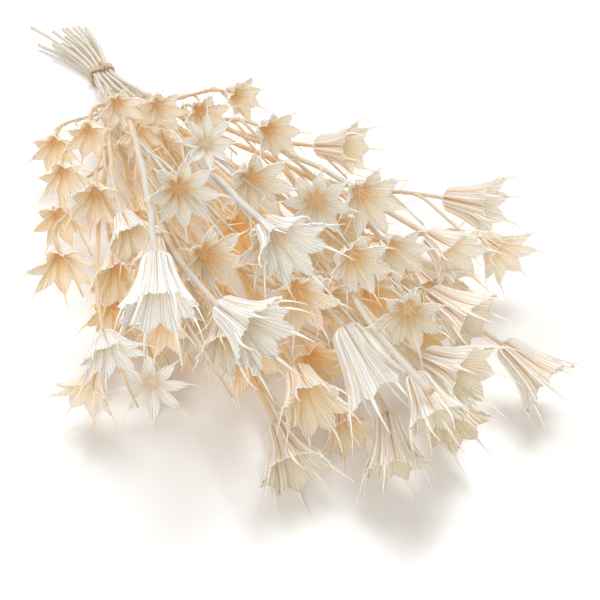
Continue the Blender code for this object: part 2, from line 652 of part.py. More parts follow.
def build():
    for item in list(bpy.data.objects):
        bpy.data.objects.remove(item)
    pod_material = plain_material("bleached_pod", POD_COLOUR, 0.7)
    twine = plain_material("twine", TWINE_COLOUR, 0.85)
    pods, feet, turns, strands = lay_out()
    sprays = []
    for number in range(WEDGES * LAYERS):
        pieces = []
        for strand in (s for s in strands if s.spray == number):
            radii = np.linspace(strand.radius, strand.end_radius, len(strand.points))
            verts, faces = strand_mesh(strand.points, radii, 5 if strand.parent is None else 4,
                                       pods[strand.pod], turns[strand.pod])
            pieces.append(mesh_object("strand", verts, faces, pod_material))
        sprays.append(fuse("stem_%02d" % (number + 1), pieces))
    tie = mesh_object("tie", *tie_mesh(), twine)
    everything = sprays + [tie]
    corners = np.array([v.co for item in everything for v in item.data.vertices])
    low, high = corners.min(axis=0), corners.max(axis=0)
    origin = np.array([0.5 * (low[0] + high[0]), 0.5 * (low[1] + high[1]), low[2]])
    for item in everything:
        for vertex in item.data.vertices:
            vertex.co = np.array(vertex.co) - origin


build()
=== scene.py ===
"""Looks for a tied bunch of bleached nigella seed pods lying on a pale floor.

Run as a script in Blender.  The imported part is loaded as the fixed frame, and one finer
piece stands for each of its sprays and one for its tie.  The layout of pods and stems
is worked out in millimetres with its origin on the floor under the tie, as in the part.
"""

import json
import math
from collections import namedtuple

import bmesh
import bpy
import numpy as np
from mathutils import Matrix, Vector, kdtree

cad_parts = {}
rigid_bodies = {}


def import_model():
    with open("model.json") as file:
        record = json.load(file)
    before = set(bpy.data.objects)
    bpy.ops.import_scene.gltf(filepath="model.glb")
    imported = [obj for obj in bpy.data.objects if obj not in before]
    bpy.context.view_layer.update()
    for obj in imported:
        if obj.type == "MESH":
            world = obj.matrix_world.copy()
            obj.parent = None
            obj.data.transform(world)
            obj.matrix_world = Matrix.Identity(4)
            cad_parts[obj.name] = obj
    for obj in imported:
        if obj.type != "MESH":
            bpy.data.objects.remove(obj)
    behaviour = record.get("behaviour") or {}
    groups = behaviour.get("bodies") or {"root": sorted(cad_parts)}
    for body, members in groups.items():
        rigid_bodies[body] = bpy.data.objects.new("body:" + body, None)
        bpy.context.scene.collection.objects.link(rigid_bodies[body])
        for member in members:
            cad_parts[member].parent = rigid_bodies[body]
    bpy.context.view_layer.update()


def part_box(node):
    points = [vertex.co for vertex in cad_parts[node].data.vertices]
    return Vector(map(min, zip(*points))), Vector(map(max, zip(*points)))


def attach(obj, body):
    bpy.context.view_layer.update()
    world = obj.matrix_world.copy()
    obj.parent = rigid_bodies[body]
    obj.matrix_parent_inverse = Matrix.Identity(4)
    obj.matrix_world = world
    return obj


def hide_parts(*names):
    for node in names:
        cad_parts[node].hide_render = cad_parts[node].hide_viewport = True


bl_info = {
    "name": "Nigella Seed Pod Bunch",
    "version": (1, 0, 0),
    "blender": (4, 5, 0),
    "location": "View3D > Sidebar > Nigella",
    "description": "Dried, bleached nigella seed pods on their stems, tied in a bunch",
    "category": "Add Mesh",
}

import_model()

MM = 0.001
SEED = 41

# Where the photo was taken from, in the layout frame, and its picture geometry.
VIEW_POINT = np.array([-125.0, -554.0, 285.0])
VIEW_HEADING = math.radians(28.0)
VIEW_PITCH = math.radians(43.0)
VIEW_FOCAL = 781.0
VIEW_CENTRE = 300.0

# One pod: photo pixels of its foot and of the middle of its mouth, height of the foot,
# how far it has opened (0 closed funnel, 1 flat star), relative size, follicles.
Pod = namedtuple("Pod", "foot_px mouth_px height spread size follicles")
PODS = [Pod((a, b), (c, d), *rest) for a, b, c, d, *rest in (
    (388, 419, 396, 468, 20, 0.35, 1.10, 8), (277, 417, 292, 452, 20, 0.35, 1.0, 8),
    (153, 384, 152, 392, 13, 1.00, 0.55, 8), (102, 321, 112, 351, 46, 0.70, 1.0, 8),
    (92, 372, 80, 400, 16, 0.60, 0.90, 7), (165, 310, 161, 333, 45, 0.50, 0.80, 7),
    (217, 327, 220, 358, 40, 0.35, 1.0, 8), (196, 303, 194, 333, 35, 0.35, 1.0, 7),
    (298, 367, 311, 397, 35, 0.35, 1.0, 8), (334, 320, 361, 368, 56, 0.35, 1.15, 8),
    (400, 372, 420, 415, 50, 0.35, 1.0, 8), (500, 350, 533, 380, 22, 0.35, 1.0, 8),
    (429, 292, 464, 315, 48, 0.35, 1.0, 8), (406, 358, 444, 374, 46, 0.40, 1.0, 7),
    (391, 306, 393, 322, 62, 0.65, 1.0, 7), (442, 202, 478, 209, 52, 0.40, 1.0, 8),
    (485, 237, 506, 254, 30, 0.60, 1.0, 7), (424, 243, 450, 262, 50, 0.50, 1.0, 7),
    (410, 258, 432, 282, 38, 0.40, 1.0, 7), (352, 187, 367, 200, 70, 0.60, 1.0, 7),
    (315, 146, 345, 147, 50, 0.30, 1.0, 7), (284, 219, 306, 240, 86, 0.50, 1.0, 8),
    (297, 284, 303, 303, 56, 0.60, 1.0, 7), (229, 296, 262, 317, 70, 0.40, 1.0, 8),
    (181, 243, 184, 290, 84, 0.35, 1.15, 8), (180, 186, 188, 196, 80, 0.70, 1.0, 8),
    (212, 143, 218, 140, 82, 0.85, 0.80, 8), (250, 176, 260, 188, 72, 0.65, 1.0, 7),
    (315, 200, 316, 204, 70, 0.80, 0.60, 8), (203, 243, 217, 252, 60, 0.60, 1.0, 7),
    (238, 220, 247, 232, 38, 0.55, 1.0, 7), (262, 232, 268, 247, 58, 0.50, 1.0, 7),
    (149, 235, 148, 258, 55, 0.30, 0.80, 7), (121, 214, 131, 236, 60, 0.45, 0.85, 7),
    (73, 252, 80, 274, 44, 0.75, 1.0, 7), (106, 250, 110, 272, 40, 0.40, 1.0, 7),
    (60, 170, 62, 184, 36, 0.60, 0.80, 7), (60, 206, 62, 218, 22, 0.60, 0.80, 7),
    (55, 136, 54, 148, 28, 0.50, 0.80, 7), (90, 125, 90, 138, 45, 0.55, 0.80, 7),
    (96, 188, 97, 203, 50, 0.50, 0.85, 7), (133, 192, 134, 212, 45, 0.35, 0.80, 7),
    (126, 105, 132, 115, 50, 0.60, 0.80, 7), (155, 103, 160, 112, 50, 0.60, 0.80, 7),
    (136, 123, 138, 134, 42, 0.60, 0.80, 7), (197, 108, 205, 116, 58, 0.50, 0.80, 7),
    (143, 278, 147, 296, 22, 0.50, 1.0, 7), (115, 288, 117, 306, 18, 0.50, 0.90, 7),
    (350, 248, 362, 264, 60, 0.55, 1.0, 7), (381, 238, 394, 250, 60, 0.60, 0.75, 7),
    (359, 285, 369, 302, 38, 0.50, 1.0, 7), (327, 292, 338, 308, 42, 0.50, 0.90, 7),
    (308, 344, 318, 362, 28, 0.50, 0.90, 7), (338, 395, 349, 422, 16, 0.40, 0.90, 7),
    (411, 322, 424, 340, 30, 0.55, 0.90, 7), (262, 127, 274, 134, 62, 0.50, 0.80, 7),
    (228, 92, 240, 97, 48, 0.45, 0.75, 7), (324, 220, 335, 232, 42, 0.55, 0.90, 7),
    (240, 335, 248, 355, 20, 0.40, 0.90, 7), (440, 395, 452, 418, 18, 0.40, 0.90, 7),
)]

# Pod shape, millimetres for size 1.
RIB_LENGTH = 26.0
FOOT_RADIUS = 1.2
SHOULDER = 0.14
BEAK_LENGTH = 9.5
BEAK_TILT = 0.5
LOBE_SHARE = 0.34
VALLEY_FOOT = 0.42
VALLEY_HEM = 0.90
WALL_DEEP = 1.3
WALL_HEM = 0.85

# Sprays and the tie.
WEDGES = 5
LAYERS = 3
SLOT_PITCH = 3.15
STEM_RADIUS = 1.4
STEM_END_RADIUS = 1.15
BRANCH_RADIUS = 1.0
TIE_CLEARANCE = 0.35
TIE_THICKNESS = 2.0
TIE_WIDTH = 8.0
TIE_CORNER = 1.8
WRAPS = 4
SLOT_FLOOR = TIE_THICKNESS + TIE_CLEARANCE + STEM_RADIUS
TIE_INNER_X = 0.5 * (WEDGES - 1) * SLOT_PITCH + STEM_RADIUS + TIE_CLEARANCE
TIE_INNER_Z = 0.5 * (LAYERS - 1) * SLOT_PITCH + STEM_RADIUS + TIE_CLEARANCE
TIE_MIDDLE = SLOT_FLOOR + 0.5 * (LAYERS - 1) * SLOT_PITCH
CUT_SHORT, CUT_LONG = 58.0, 84.0

# Relaxation of the layout, so that nothing passes through anything else.
GAP = 0.5
RELAX_STEPS = 560
SHRINK_FROM, SHRINK_EVERY = 200, 30
SHRINK_DEPTH, SHRINK_BY = 0.15, 0.96
SAMPLE_STEP = 4.0
PAIRS_EVERY, PAIR_REACH, POD_REACH = 14, 7.0, 45.0
PUSH_APART, PUSH_OUT, PUSH_BACK, MOST_PUSH = 0.55, 0.6, 0.4, 3.0
ALONG_VIEW, ACROSS_VIEW = 1.3, 0.9
FLOOR_PULL, FLOOR_PULL_HEIGHT = 0.1, 7.0
STEM_SMOOTHING, POD_FOLLOWS = 0.12, 0.4


def unit(vector):
    """The same direction, one long."""
    return vector / np.linalg.norm(vector)


def run_lengths(points):
    """Distance of each point from the first, along the route."""
    return np.concatenate([[0.0], np.cumsum(np.linalg.norm(np.diff(points, axis=0), axis=1))])


def resample(points, lengths, marks):
    """Points of a route at given distances along it."""
    return np.column_stack([np.interp(marks, lengths, points[:, i]) for i in range(3)])


def walk(start, heading, stride, count, bend):
    """Route of a thread that bends a little the same way at each step."""
    route = []
    for _ in range(count):
        route.append(start)
        start = start + heading * stride
        heading = unit(heading + bend)
    return np.array(route)


def ramp(value, low, span):
    """Share of a span from low up that a value has passed, within 0 and 1."""
    return min(max((value - low) / span, 0.0), 1.0)


def pixel_ray(pixel):
    """Direction in the layout frame of one pixel of the photo."""
    sh, ch = math.sin(VIEW_HEADING), math.cos(VIEW_HEADING)
    sp, cp = math.sin(VIEW_PITCH), math.cos(VIEW_PITCH)
    ahead = np.array([sh * cp, ch * cp, -sp])
    right = np.array([ch, -sh, 0.0])
    up = np.array([sh * sp, ch * sp, cp])
    return unit(ahead * VIEW_FOCAL + right * (pixel[0] - VIEW_CENTRE)
                + up * (VIEW_CENTRE - pixel[1]))


def place_pod(pod):
    """Foot point and axis of a pod, from its two pixels and its height."""
    ray = pixel_ray(pod.foot_px)
    foot = VIEW_POINT + ray * ((pod.height - VIEW_POINT[2]) / ray[2])
    ray = pixel_ray(pod.mouth_px)
    reach = pod.size * (24.0 - 12.0 * pod.spread)
    along = float(np.dot(foot - VIEW_POINT, ray))
    miss = float(np.linalg.norm(foot - VIEW_POINT - ray * along))
    along -= math.sqrt(max(0.0, reach ** 2 - miss ** 2))
    return foot, unit(VIEW_POINT + ray * along - foot)


def turn_to(axis, roll):
    """Rotation matrix that takes +Z to the axis, after a roll about it."""
    side = unit(np.cross(axis, (0.0, 0.0, 1.0) if abs(axis[2]) < 0.9 else (1.0, 0.0, 0.0)))
    other = np.cross(axis, side)
    first = side * math.cos(roll) + other * math.sin(roll)
    return np.column_stack([first, np.cross(axis, first), axis])


def rib_profile(spread):
    """Height, radius and slope along a rib, for size 1, at steps of its length."""
    steps = np.linspace(0.0, 1.0, 61)
    low = math.radians(7.0 + 50.0 * spread ** 3)
    hem = math.radians(12.0 + 62.0 * spread ** 1.6)
    rise = np.clip((steps - SHOULDER) / (1.0 - SHOULDER), 0.0, 1.0)
    slope = low + (hem - low) * rise ** 1.4
    blend = np.clip((steps - 0.5 * SHOULDER) / SHOULDER, 0.0, 1.0)
    slope = slope * blend + math.radians(76.0) * (1.0 - blend)
    stride = RIB_LENGTH * (steps[1] - steps[0])
    middle = 0.5 * (slope[1:] + slope[:-1])
    height = np.concatenate([[0.0], np.cumsum(np.cos(middle))]) * stride
    radius = np.concatenate([[0.0], np.cumsum(np.sin(middle))]) * stride + FOOT_RADIUS
    return steps, height, radius, slope


def rib_point(profile, share, inset=0.0):
    """Radius and height on a rib at a share of its length, inset along the wall."""
    steps, height, radius, slope = profile
    tilt = float(np.interp(share, steps, slope))
    return (float(np.interp(share, steps, radius)) - inset * math.cos(tilt),
            float(np.interp(share, steps, height)) + inset * math.sin(tilt))


def valley_depth(share):
    """Radius of the groove between two ribs, as a fraction of the rib radius."""
    return VALLEY_FOOT + (VALLEY_HEM - VALLEY_FOOT) * share ** 0.8


def notch(spread):
    """How far short of the hem of a rib the wall between two ribs ends."""
    return 0.06 + 0.22 * spread


def around(radius, height, angle, size):
    """Point at a radius, height and angle in the pod's own frame."""
    return (size * radius * math.cos(angle), size * radius * math.sin(angle), size * height)


def pod_corners(pod):
    """Corners of the part's pod in its own frame, opening along +Z."""
    profile = rib_profile(pod.spread)
    size, count = pod.size, pod.follicles
    hem_valley = 1.0 - notch(pod.spread)
    lobe = LOBE_SHARE * math.pi / count
    floor_height = rib_point(profile, 0.5, WALL_DEEP / size)[1]
    verts = [(0.0, 0.0, size * floor_height * 0.55)]
    for k in range(count):
        rib = 2.0 * math.pi * k / count
        dip = rib + math.pi / count
        for share in (0.15, 0.55):
            r, h = rib_point(profile, share)
            verts.append(around(r, h, rib, size))
            verts.append(around(r * valley_depth(share), h + 0.4, dip, size))
        r, h = rib_point(profile, 0.97)
        verts.append(around(r * 0.985, h, rib - lobe, size))
        verts.append(around(r * 0.985, h, rib + lobe, size))
        rv, hv = rib_point(profile, hem_valley)
        verts.append(around(rv * valley_depth(hem_valley), hv, dip, size))
        r, h = rib_point(profile, 1.0)
        tilt = float(profile[3][-1]) * BEAK_TILT
        verts.append(around(r + BEAK_LENGTH * math.sin(tilt), h + BEAK_LENGTH * math.cos(tilt),
                            rib, size))
        r, h = rib_point(profile, 0.97, WALL_HEM / size)
        verts.append(around(r, h, rib, size))
        rv, hv = rib_point(profile, hem_valley, WALL_HEM / size)
        verts.append(around(rv * valley_depth(hem_valley), hv, dip, size))
        r, h = rib_point(profile, 0.55, WALL_DEEP / size)
        verts.append(around(r, h, rib, size))
        verts.append(around(max(r * valley_depth(0.55) - 0.3, 1.2), h + 0.4, dip, size))
    return np.array(verts)


def guard_points(pod):
    """Points and radii that stand for a pod while the layout is relaxed."""
    profile = rib_profile(pod.spread)
    points, radii, kinds = [(0.0, 0.0, 1.0)], [1.6], [0]
    tilt = float(profile[3][-1]) * BEAK_TILT
    for k in range(2 * pod.follicles):
        angle = math.pi * k / pod.follicles
        is_rib = k % 2 == 0
        top = 1.0 if is_rib else 1.0 - notch(pod.spread)
        for part in (0.25, 0.44, 0.63, 0.82, 1.0):
            share = part * top
            r, h = rib_point(profile, share, 0.5)
            r *= 1.0 if is_rib else valley_depth(share)
            points.append(around(r, h, angle, pod.size))
            radii.append(1.1)
            kinds.append(0)
        if is_rib:
            r, h = rib_point(profile, 1.0)
            for part in (0.2, 0.6, 0.95):
                out = BEAK_LENGTH * part
                points.append(around(r + out * math.sin(tilt), h + out * math.cos(tilt),
                                     angle, pod.size))
                radii.append(1.5 - 0.7 * part)
                kinds.append(1)
    return np.array(points), np.array(radii), np.array(kinds)


def even_curve(corners, spacing):
    """Evenly spaced points along a cubic curve through four control corners."""
    t = np.linspace(0.0, 1.0, 81)[:, None]
    a, b, c, d = corners
    curve = ((1 - t) ** 3 * a + 3 * t * (1 - t) ** 2 * b + 3 * t * t * (1 - t) * c + t ** 3 * d)
    lengths = run_lengths(curve)
    count = max(3, int(round(lengths[-1] / spacing)) + 1)
    return resample(curve, lengths, np.linspace(0.0, lengths[-1], count))


# One stem or branch: its control points, the pod it carries, its spray, the strand it
# grows from with the place on it, its radii and how many first points are held still.
Strand = namedtuple("Strand", "points pod spray parent place radius end_radius held")


def sort_into_sprays(feet):
    """Pods grouped by direction seen from the tie, five wedges of three layers."""
    bearing = np.arctan2(feet[:, 0], -feet[:, 1])
    lift = np.arctan2(feet[:, 2] - 10.0, np.hypot(feet[:, 0], feet[:, 1]))
    sprays = []
    for wedge in np.array_split(np.argsort(bearing), WEDGES):
        by_lift = wedge[np.argsort(lift[wedge])]
        sprays += [list(cell) for cell in np.array_split(by_lift, LAYERS)]
    return sprays


def grow_strands(feet, axes, rng):
    """Main stem and branches of every spray, before they are moved apart."""
    strands = []
    for number, members in enumerate(sort_into_sprays(feet)):
        wedge, layer = divmod(number, LAYERS)
        slot = np.array([(wedge - 0.5 * (WEDGES - 1)) * SLOT_PITCH, 0.0,
                         SLOT_FLOOR + layer * SLOT_PITCH])
        members = sorted(members, key=lambda i: -float(np.hypot(feet[i, 0], feet[i, 1])))
        lead = members[0]
        far = float(np.linalg.norm(feet[lead] - slot))
        cut = CUT_SHORT + (CUT_LONG - CUT_SHORT) * rng.random()
        tail = []
        for y in (cut, 0.62 * cut, 0.3 * cut, 7.0):
            out = max(0.0, y - 7.0) / 60.0
            tail.append([slot[0] * (1.0 + 1.5 * out) - 7.0 * out * out, y,
                         SLOT_FLOOR + layer * SLOT_PITCH * (1.0 + 0.9 * out)])
        start = slot + np.array([0.0, -7.0, 0.0])
        leave = unit(unit(feet[lead] - start) + np.array([0.0, -1.2, 0.1]))
        corners = (start, start + leave * far * 0.36,
                   feet[lead] - axes[lead] * min(45.0, far * 0.2)
                   + unit(start - feet[lead]) * far * 0.08, feet[lead])
        main = np.vstack([tail, even_curve(corners, 26.0)])
        root = len(strands)
        strands.append(Strand(main, lead, number, None, 0.0, STEM_RADIUS, STEM_END_RADIUS, 5))
        reach = np.linalg.norm(main - slot, axis=1)
        for pod in members[1:]:
            away = float(np.linalg.norm(feet[pod] - slot))
            wanted = min(max(away - rng.uniform(55.0, 90.0), 0.22 * away), 0.92 * far)
            place = float(np.interp(wanted, reach[5:], np.arange(5, len(main))))
            low = min(int(place), len(main) - 2)
            begin = main[low] + (main[low + 1] - main[low]) * (place - low)
            along = unit(main[low + 1] - main[low])
            span = float(np.linalg.norm(feet[pod] - begin))
            corners = (begin, begin + unit(along + 0.5 * unit(feet[pod] - begin)) * span * 0.35,
                       feet[pod] - axes[pod] * min(26.0, span * 0.4), feet[pod])
            strands.append(Strand(even_curve(corners, 15.0), pod, number, root, place,
                                  BRANCH_RADIUS, BRANCH_RADIUS, 1))
    return strands


def spread_matrix(strands):
    """Rows that take all control points to samples a few millimetres apart."""
    starts = np.cumsum([0] + [len(s.points) for s in strands])
    rows, owners, radii = [], [], []
    for index, strand in enumerate(strands):
        first = 4 if strand.parent is None else 0
        for low in range(first, len(strand.points) - 1):
            gap = float(np.linalg.norm(strand.points[low + 1] - strand.points[low]))
            count = max(1, int(round(gap / SAMPLE_STEP)))
            for part in range(count):
                rows.append((starts[index] + low, part / count))
                owners.append(index)
                share = low / (len(strand.points) - 1)
                radii.append(strand.radius + (strand.end_radius - strand.radius) * share)
    matrix = np.zeros((len(rows), starts[-1]))
    for row, (column, part) in enumerate(rows):
        matrix[row, column] = 1.0 - part
        matrix[row, column + 1] = part
    return matrix, np.array(owners), np.array(radii), starts


def near_pairs(points, reach, owner):
    """Pairs of points of different owners that lie near each other."""
    tree = kdtree.KDTree(len(points))
    for index, point in enumerate(points):
        tree.insert(point, index)
    tree.balance()
    pairs = [(index, other) for index, point in enumerate(points)
             for _, other, _ in tree.find_range(point, reach)
             if other > index and owner[index] != owner[other]]
    return np.array(pairs)


def push_out(points, radius, foot, turn, shape):
    """Shortest ways that take points out of the filled cone of one pod."""
    heights, radii, size = shape
    local = (points - foot) @ turn
    level = local[:, 2]
    across = np.maximum(np.hypot(local[:, 0], local[:, 1]), 1e-3)
    out = np.interp(level / size, heights, radii) * size + radius + GAP - across
    up = heights[-1] * size + radius - level
    inside = np.flatnonzero((level > -0.5) & (out > 0.0) & (up > 0.0))
    sideways = out[inside] <= up[inside]
    way = np.zeros((len(inside), 3))
    share = out[inside] / across[inside] * sideways
    way[:, 0] = local[inside, 0] * share
    way[:, 1] = local[inside, 1] * share
    way[:, 2] = np.where(sideways, 0.0, up[inside])
    return inside, way @ turn.T


def relax(feet, turns, strands):
    """Move pods and stems apart, and shrink the pods that stay wedged.

    Returns the moved feet, the moved control points, their starts and the pods' scales.
    """
    guards = [guard_points(pod) for pod in PODS]
    offsets = np.vstack([g[0] @ turn.T for g, turn in zip(guards, turns)])
    guard_pod = np.concatenate([[i] * len(g[0]) for i, g in enumerate(guards)])
    lowest = np.array([(pod_corners(pod) @ turn.T)[:, 2].min()
                       for pod, turn in zip(PODS, turns)])
    profiles = [rib_profile(pod.spread) for pod in PODS]
    sizes = np.array([pod.size for pod in PODS])
    scale = np.ones(len(PODS))
    matrix, sample_strand, sample_radius, starts = spread_matrix(strands)
    controls0 = np.vstack([s.points for s in strands])
    spray_of_pod = np.zeros(len(PODS), int)
    for strand in strands:
        spray_of_pod[strand.pod] = strand.spray
    owner = np.concatenate([guard_pod, [strands[i].pod for i in sample_strand]])
    spray = spray_of_pod[owner]
    guard_count = len(guard_pod)
    is_stem = np.arange(len(owner)) >= guard_count
    is_beak = np.concatenate([np.concatenate([g[2] for g in guards]) == 1,
                              np.zeros(len(sample_strand), bool)])
    radius = np.concatenate([np.concatenate([g[1] for g in guards]), sample_radius])
    solid = np.flatnonzero(~is_beak)
    shift = np.zeros((len(PODS), 3))
    bend = np.zeros_like(controls0)
    rays = np.array([unit(foot - VIEW_POINT) for foot in feet])
    for step in range(RELAX_STEPS):
        points = np.vstack([feet[guard_pod] + shift[guard_pod]
                            + offsets * scale[guard_pod][:, None],
                            matrix @ (controls0 + bend)])
        if step % PAIRS_EVERY == 0:
            pairs = near_pairs(points, PAIR_REACH, owner)
            a, b = pairs[:, 0], pairs[:, 1]
            keep = (is_beak[a] | is_beak[b]
                    | (is_stem[a] & is_stem[b] & (spray[a] != spray[b])))
            a, b = a[keep], b[keep]
            need = radius[a] + radius[b] + GAP
            nearby = [solid[(np.abs(points[solid] - feet[i] - shift[i]).max(axis=1) < POD_REACH)
                            & (owner[solid] != i)] for i in range(len(PODS))]
        total = np.zeros_like(points)
        count = np.zeros(len(points))
        delta = points[a] - points[b]
        distance = np.maximum(np.linalg.norm(delta, axis=1), 1e-6)
        hit = need > distance
        short = (need - distance)[hit]
        push = delta[hit] * (PUSH_APART * short / distance[hit])[:, None]
        worst = np.zeros(len(PODS))
        for end, way in ((a[hit], push), (b[hit], -push)):
            np.maximum.at(worst, owner[end], short)
            np.add.at(total, end, way)
            np.add.at(count, end, 1.0)
        pod_total = np.zeros_like(shift)
        pod_count = np.zeros(len(PODS))
        for index, (turn, profile) in enumerate(zip(turns, profiles)):
            foot = feet[index] + shift[index]
            near = nearby[index]
            shape = (profile[1], profile[2], sizes[index] * scale[index])
            inside, way = push_out(points[near], radius[near], foot, turn, shape)
            if len(inside):
                depth = np.linalg.norm(way, axis=1)
                worst[index] = max(worst[index], depth.max())
                np.maximum.at(worst, owner[near[inside]], depth)
                way *= np.minimum(1.0, MOST_PUSH / depth)[:, None]
                total[near[inside]] += PUSH_OUT * way
                count[near[inside]] += 1.0
                pod_total[index] -= PUSH_BACK * way.sum(axis=0)
                pod_count[index] += len(inside)
        if step >= SHRINK_FROM and step % SHRINK_EVERY == 0:
            scale[worst > GAP + SHRINK_DEPTH] *= SHRINK_BY
        np.add.at(pod_total, guard_pod, total[:guard_count])
        np.add.at(pod_count, guard_pod, count[:guard_count])
        move = pod_total / np.maximum(pod_count, 1.0)[:, None]
        along = np.sum(move * rays, axis=1)[:, None] * rays
        # A pod that moves along the photo's line of sight stays in its place there.
        shift += ALONG_VIEW * along + ACROSS_VIEW * (move - along)
        clear = feet[:, 2] + shift[:, 2] + lowest * scale
        shift[:, 2] -= np.where(clear < 0.0, clear,
                                np.where(clear < FLOOR_PULL_HEIGHT, FLOOR_PULL * clear, 0.0))
        mean = total[guard_count:] / np.maximum(count[guard_count:], 1.0)[:, None]
        weight = matrix.T @ (count[guard_count:] > 0).astype(float)
        bend += (matrix.T @ mean) / np.maximum(weight, 0.35)[:, None]
        for index, strand in enumerate(strands):
            first, last = starts[index], starts[index + 1]
            part = bend[first:last]
            part[1:-1] += STEM_SMOOTHING * (0.5 * (part[2:] + part[:-2]) - part[1:-1])
            # A stem whose end is pushed takes its pod along.
            shift[strand.pod] += POD_FOLLOWS * (part[-2] - shift[strand.pod])
            if strand.parent is None:
                part[:strand.held] = 0.0
            else:
                host = starts[strand.parent]
                low = min(int(strand.place), starts[strand.parent + 1] - host - 2)
                share = strand.place - low
                part[0] = bend[host + low] * (1.0 - share) + bend[host + low + 1] * share
            level = controls0[first:last, 2] + part[:, 2]
            part[:, 2] += np.maximum(strand.radius + 0.5 - level, 0.0)
            part[-2:] = shift[strand.pod]
    # The lowest pods end exactly on the floor, and no pod ends under it.
    clear = feet[:, 2] + shift[:, 2] + lowest * scale
    shift[:, 2] -= np.where(clear < 1.0, clear, 0.0)
    for index, strand in enumerate(strands):
        bend[starts[index + 1] - 2:starts[index + 1]] = shift[strand.pod]
    return feet + shift, controls0 + bend, starts, scale


def lay_out():
    """Pods, feet, turning matrices and strands of the whole bunch, in millimetres."""
    rng = np.random.default_rng(SEED)
    placed = [place_pod(pod) for pod in PODS]
    feet = np.array([foot for foot, _ in placed])
    axes = np.array([axis for _, axis in placed])
    turns = [turn_to(axis, rng.uniform(0.0, math.tau)) for axis in axes]
    strands = grow_strands(feet, axes, rng)
    feet, controls, starts, scale = relax(feet, turns, strands)
    pods = [pod._replace(size=pod.size * factor) for pod, factor in zip(PODS, scale)]
    strands = [s._replace(points=controls[starts[i]:starts[i + 1]])
               for i, s in enumerate(strands)]
    return pods, feet, turns, strands


# Finer shape than the part's solids, millimetres for size 1.
PLUMP = 1.20
FLARE = 0.14
LIFT_MOST = 5.0
PAPER_VALLEY_FOOT, PAPER_VALLEY_HEM = 0.34, 0.88
RIDGE_HEIGHT, CHANNEL_DEPTH = 0.48, -0.40
WAVE, FRILL, HEM_RAG = 0.34, 0.75, 0.010
BEAK_STEPS = 9
TWIG_RADII, THREAD_RADII = (0.95, 0.45), (0.36, 0.15)
NODE_SWELLING, FOOT_SWELLING, STEM_RIDGE = 0.42, 0.30, 0.055
# Pods that the photo shows smaller than their part, by number.
SMALLER_PODS = {2: 0.80, 26: 0.74, 14: 0.88}
# Columns of a follicle's sheet: over the rib's back in band widths, with how much of the
# rib's colour each takes, and then over the open wall as shares of what is left.
RIB_BAND = 1.2
COLUMN_PLACES = (0.0, 0.55, 0.86, 1.0, 1.22)
COLUMN_RIDGES = (0.0, 0.25, 0.95, 1.0, 0.3)
OPEN_COLUMNS = (0.22, 0.44, 0.64, 0.82, 0.94, 1.0)
OUTER_ROWS, INNER_ROWS = 17, 12
FLOOR_SHARE = 0.17
LOBE_POWER = 0.9
BEAK_ROOT = 0.78
# Paper and threads below this height bend along the floor and stop above it.
FLOOR_EASE, FLOOR_GAP = 3.0, 0.12
# Twigs grow only on nodes nearer the tie than this.
TWIG_REACH = -300.0
# A broken side stem: photo pixels of its two ends and their heights.
BROKEN_STEM = (((386, 346), 66.0), ((432, 393), 60.0))
# Pods of a cool white and pinkish pods, by number.
COOL_WHITE_PODS = (2, 3, 9, 21, 23, 24, 26)
BLUSH_PODS = (0, 1, 6, 7, 11)

# What each vertex carries for the materials.
MARKS = ("across", "along", "inside", "tone", "stalk", "ridge", "deep")


def lobe_depth(spread):
    """Share of a rib's length that its lobe stands free, deepest on the flat stars."""
    return 0.12 + 0.15 * ramp(spread, 0.35, 0.3) + 0.18 * ramp(spread, 0.7, 0.3)


def fullness(pod):
    """How much larger the paper is than the part's pod, least on the near wide cups."""
    wide, near = ramp(pod.spread, 0.42, 0.3), ramp(pod.size, 0.70, 0.15)
    return PLUMP * (1.0 - 0.33 * wide * near + 0.15 * ramp(pod.spread, 0.85, 0.15))


def lift_needed(pod, foot, turn):
    """How far a pod that lies on the floor is raised to make room for its paper."""
    lowest = float((pod_corners(pod) @ turn.T)[:, 2].min())
    return min(max(0.3 - foot[2] - 1.06 * lowest, 0.0), LIFT_MOST)


TIE_LOW, TIE_HIGH = (np.array(corner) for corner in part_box("tie"))
UNDER_TIE = np.array([*(0.5 * (TIE_LOW + TIE_HIGH))[:2], TIE_LOW[2]])


def to_scene(points):
    """Layout millimetres to scene metres."""
    return np.asarray(points) * MM + UNDER_TIE


def new_mesh():
    """Empty mesh whose vertices carry the marks."""
    mesh = bmesh.new()
    for name in MARKS:
        mesh.verts.layers.float.new(name)
    return mesh


def roll_sheet(mesh, places, marks):
    """Grid bent into a shape; columns that meet and rows drawn to a point are welded."""
    rows, columns = places.shape[:2]
    level, room = places[..., 2:], FLOOR_EASE - FLOOR_GAP
    eased = FLOOR_GAP + room * np.exp((level - FLOOR_EASE) / room)
    level = np.where(level < FLOOR_EASE, eased, level)
    places = np.concatenate([places[..., :2], level], axis=-1)
    sheet = new_mesh()
    made = bmesh.ops.create_grid(sheet, x_segments=columns - 1, y_segments=rows - 1,
                                 size=1.0)["verts"]
    layers = [sheet.verts.layers.float[name] for name in MARKS]
    values = np.stack([np.broadcast_to(marks.get(name, 0.0), (rows, columns))
                       for name in MARKS], axis=-1).reshape(-1, len(MARKS)).tolist()
    for vertex, place, row in zip(made, to_scene(places).reshape(-1, 3).tolist(), values):
        vertex.co = place
        for layer, value in zip(layers, row):
            vertex[layer] = value
    bmesh.ops.remove_doubles(sheet, verts=made, dist=1e-6)
    rolled = bpy.data.meshes.new("rolled sheet")
    sheet.to_mesh(rolled)
    sheet.free()
    mesh.from_mesh(rolled)
    bpy.data.meshes.remove(rolled)


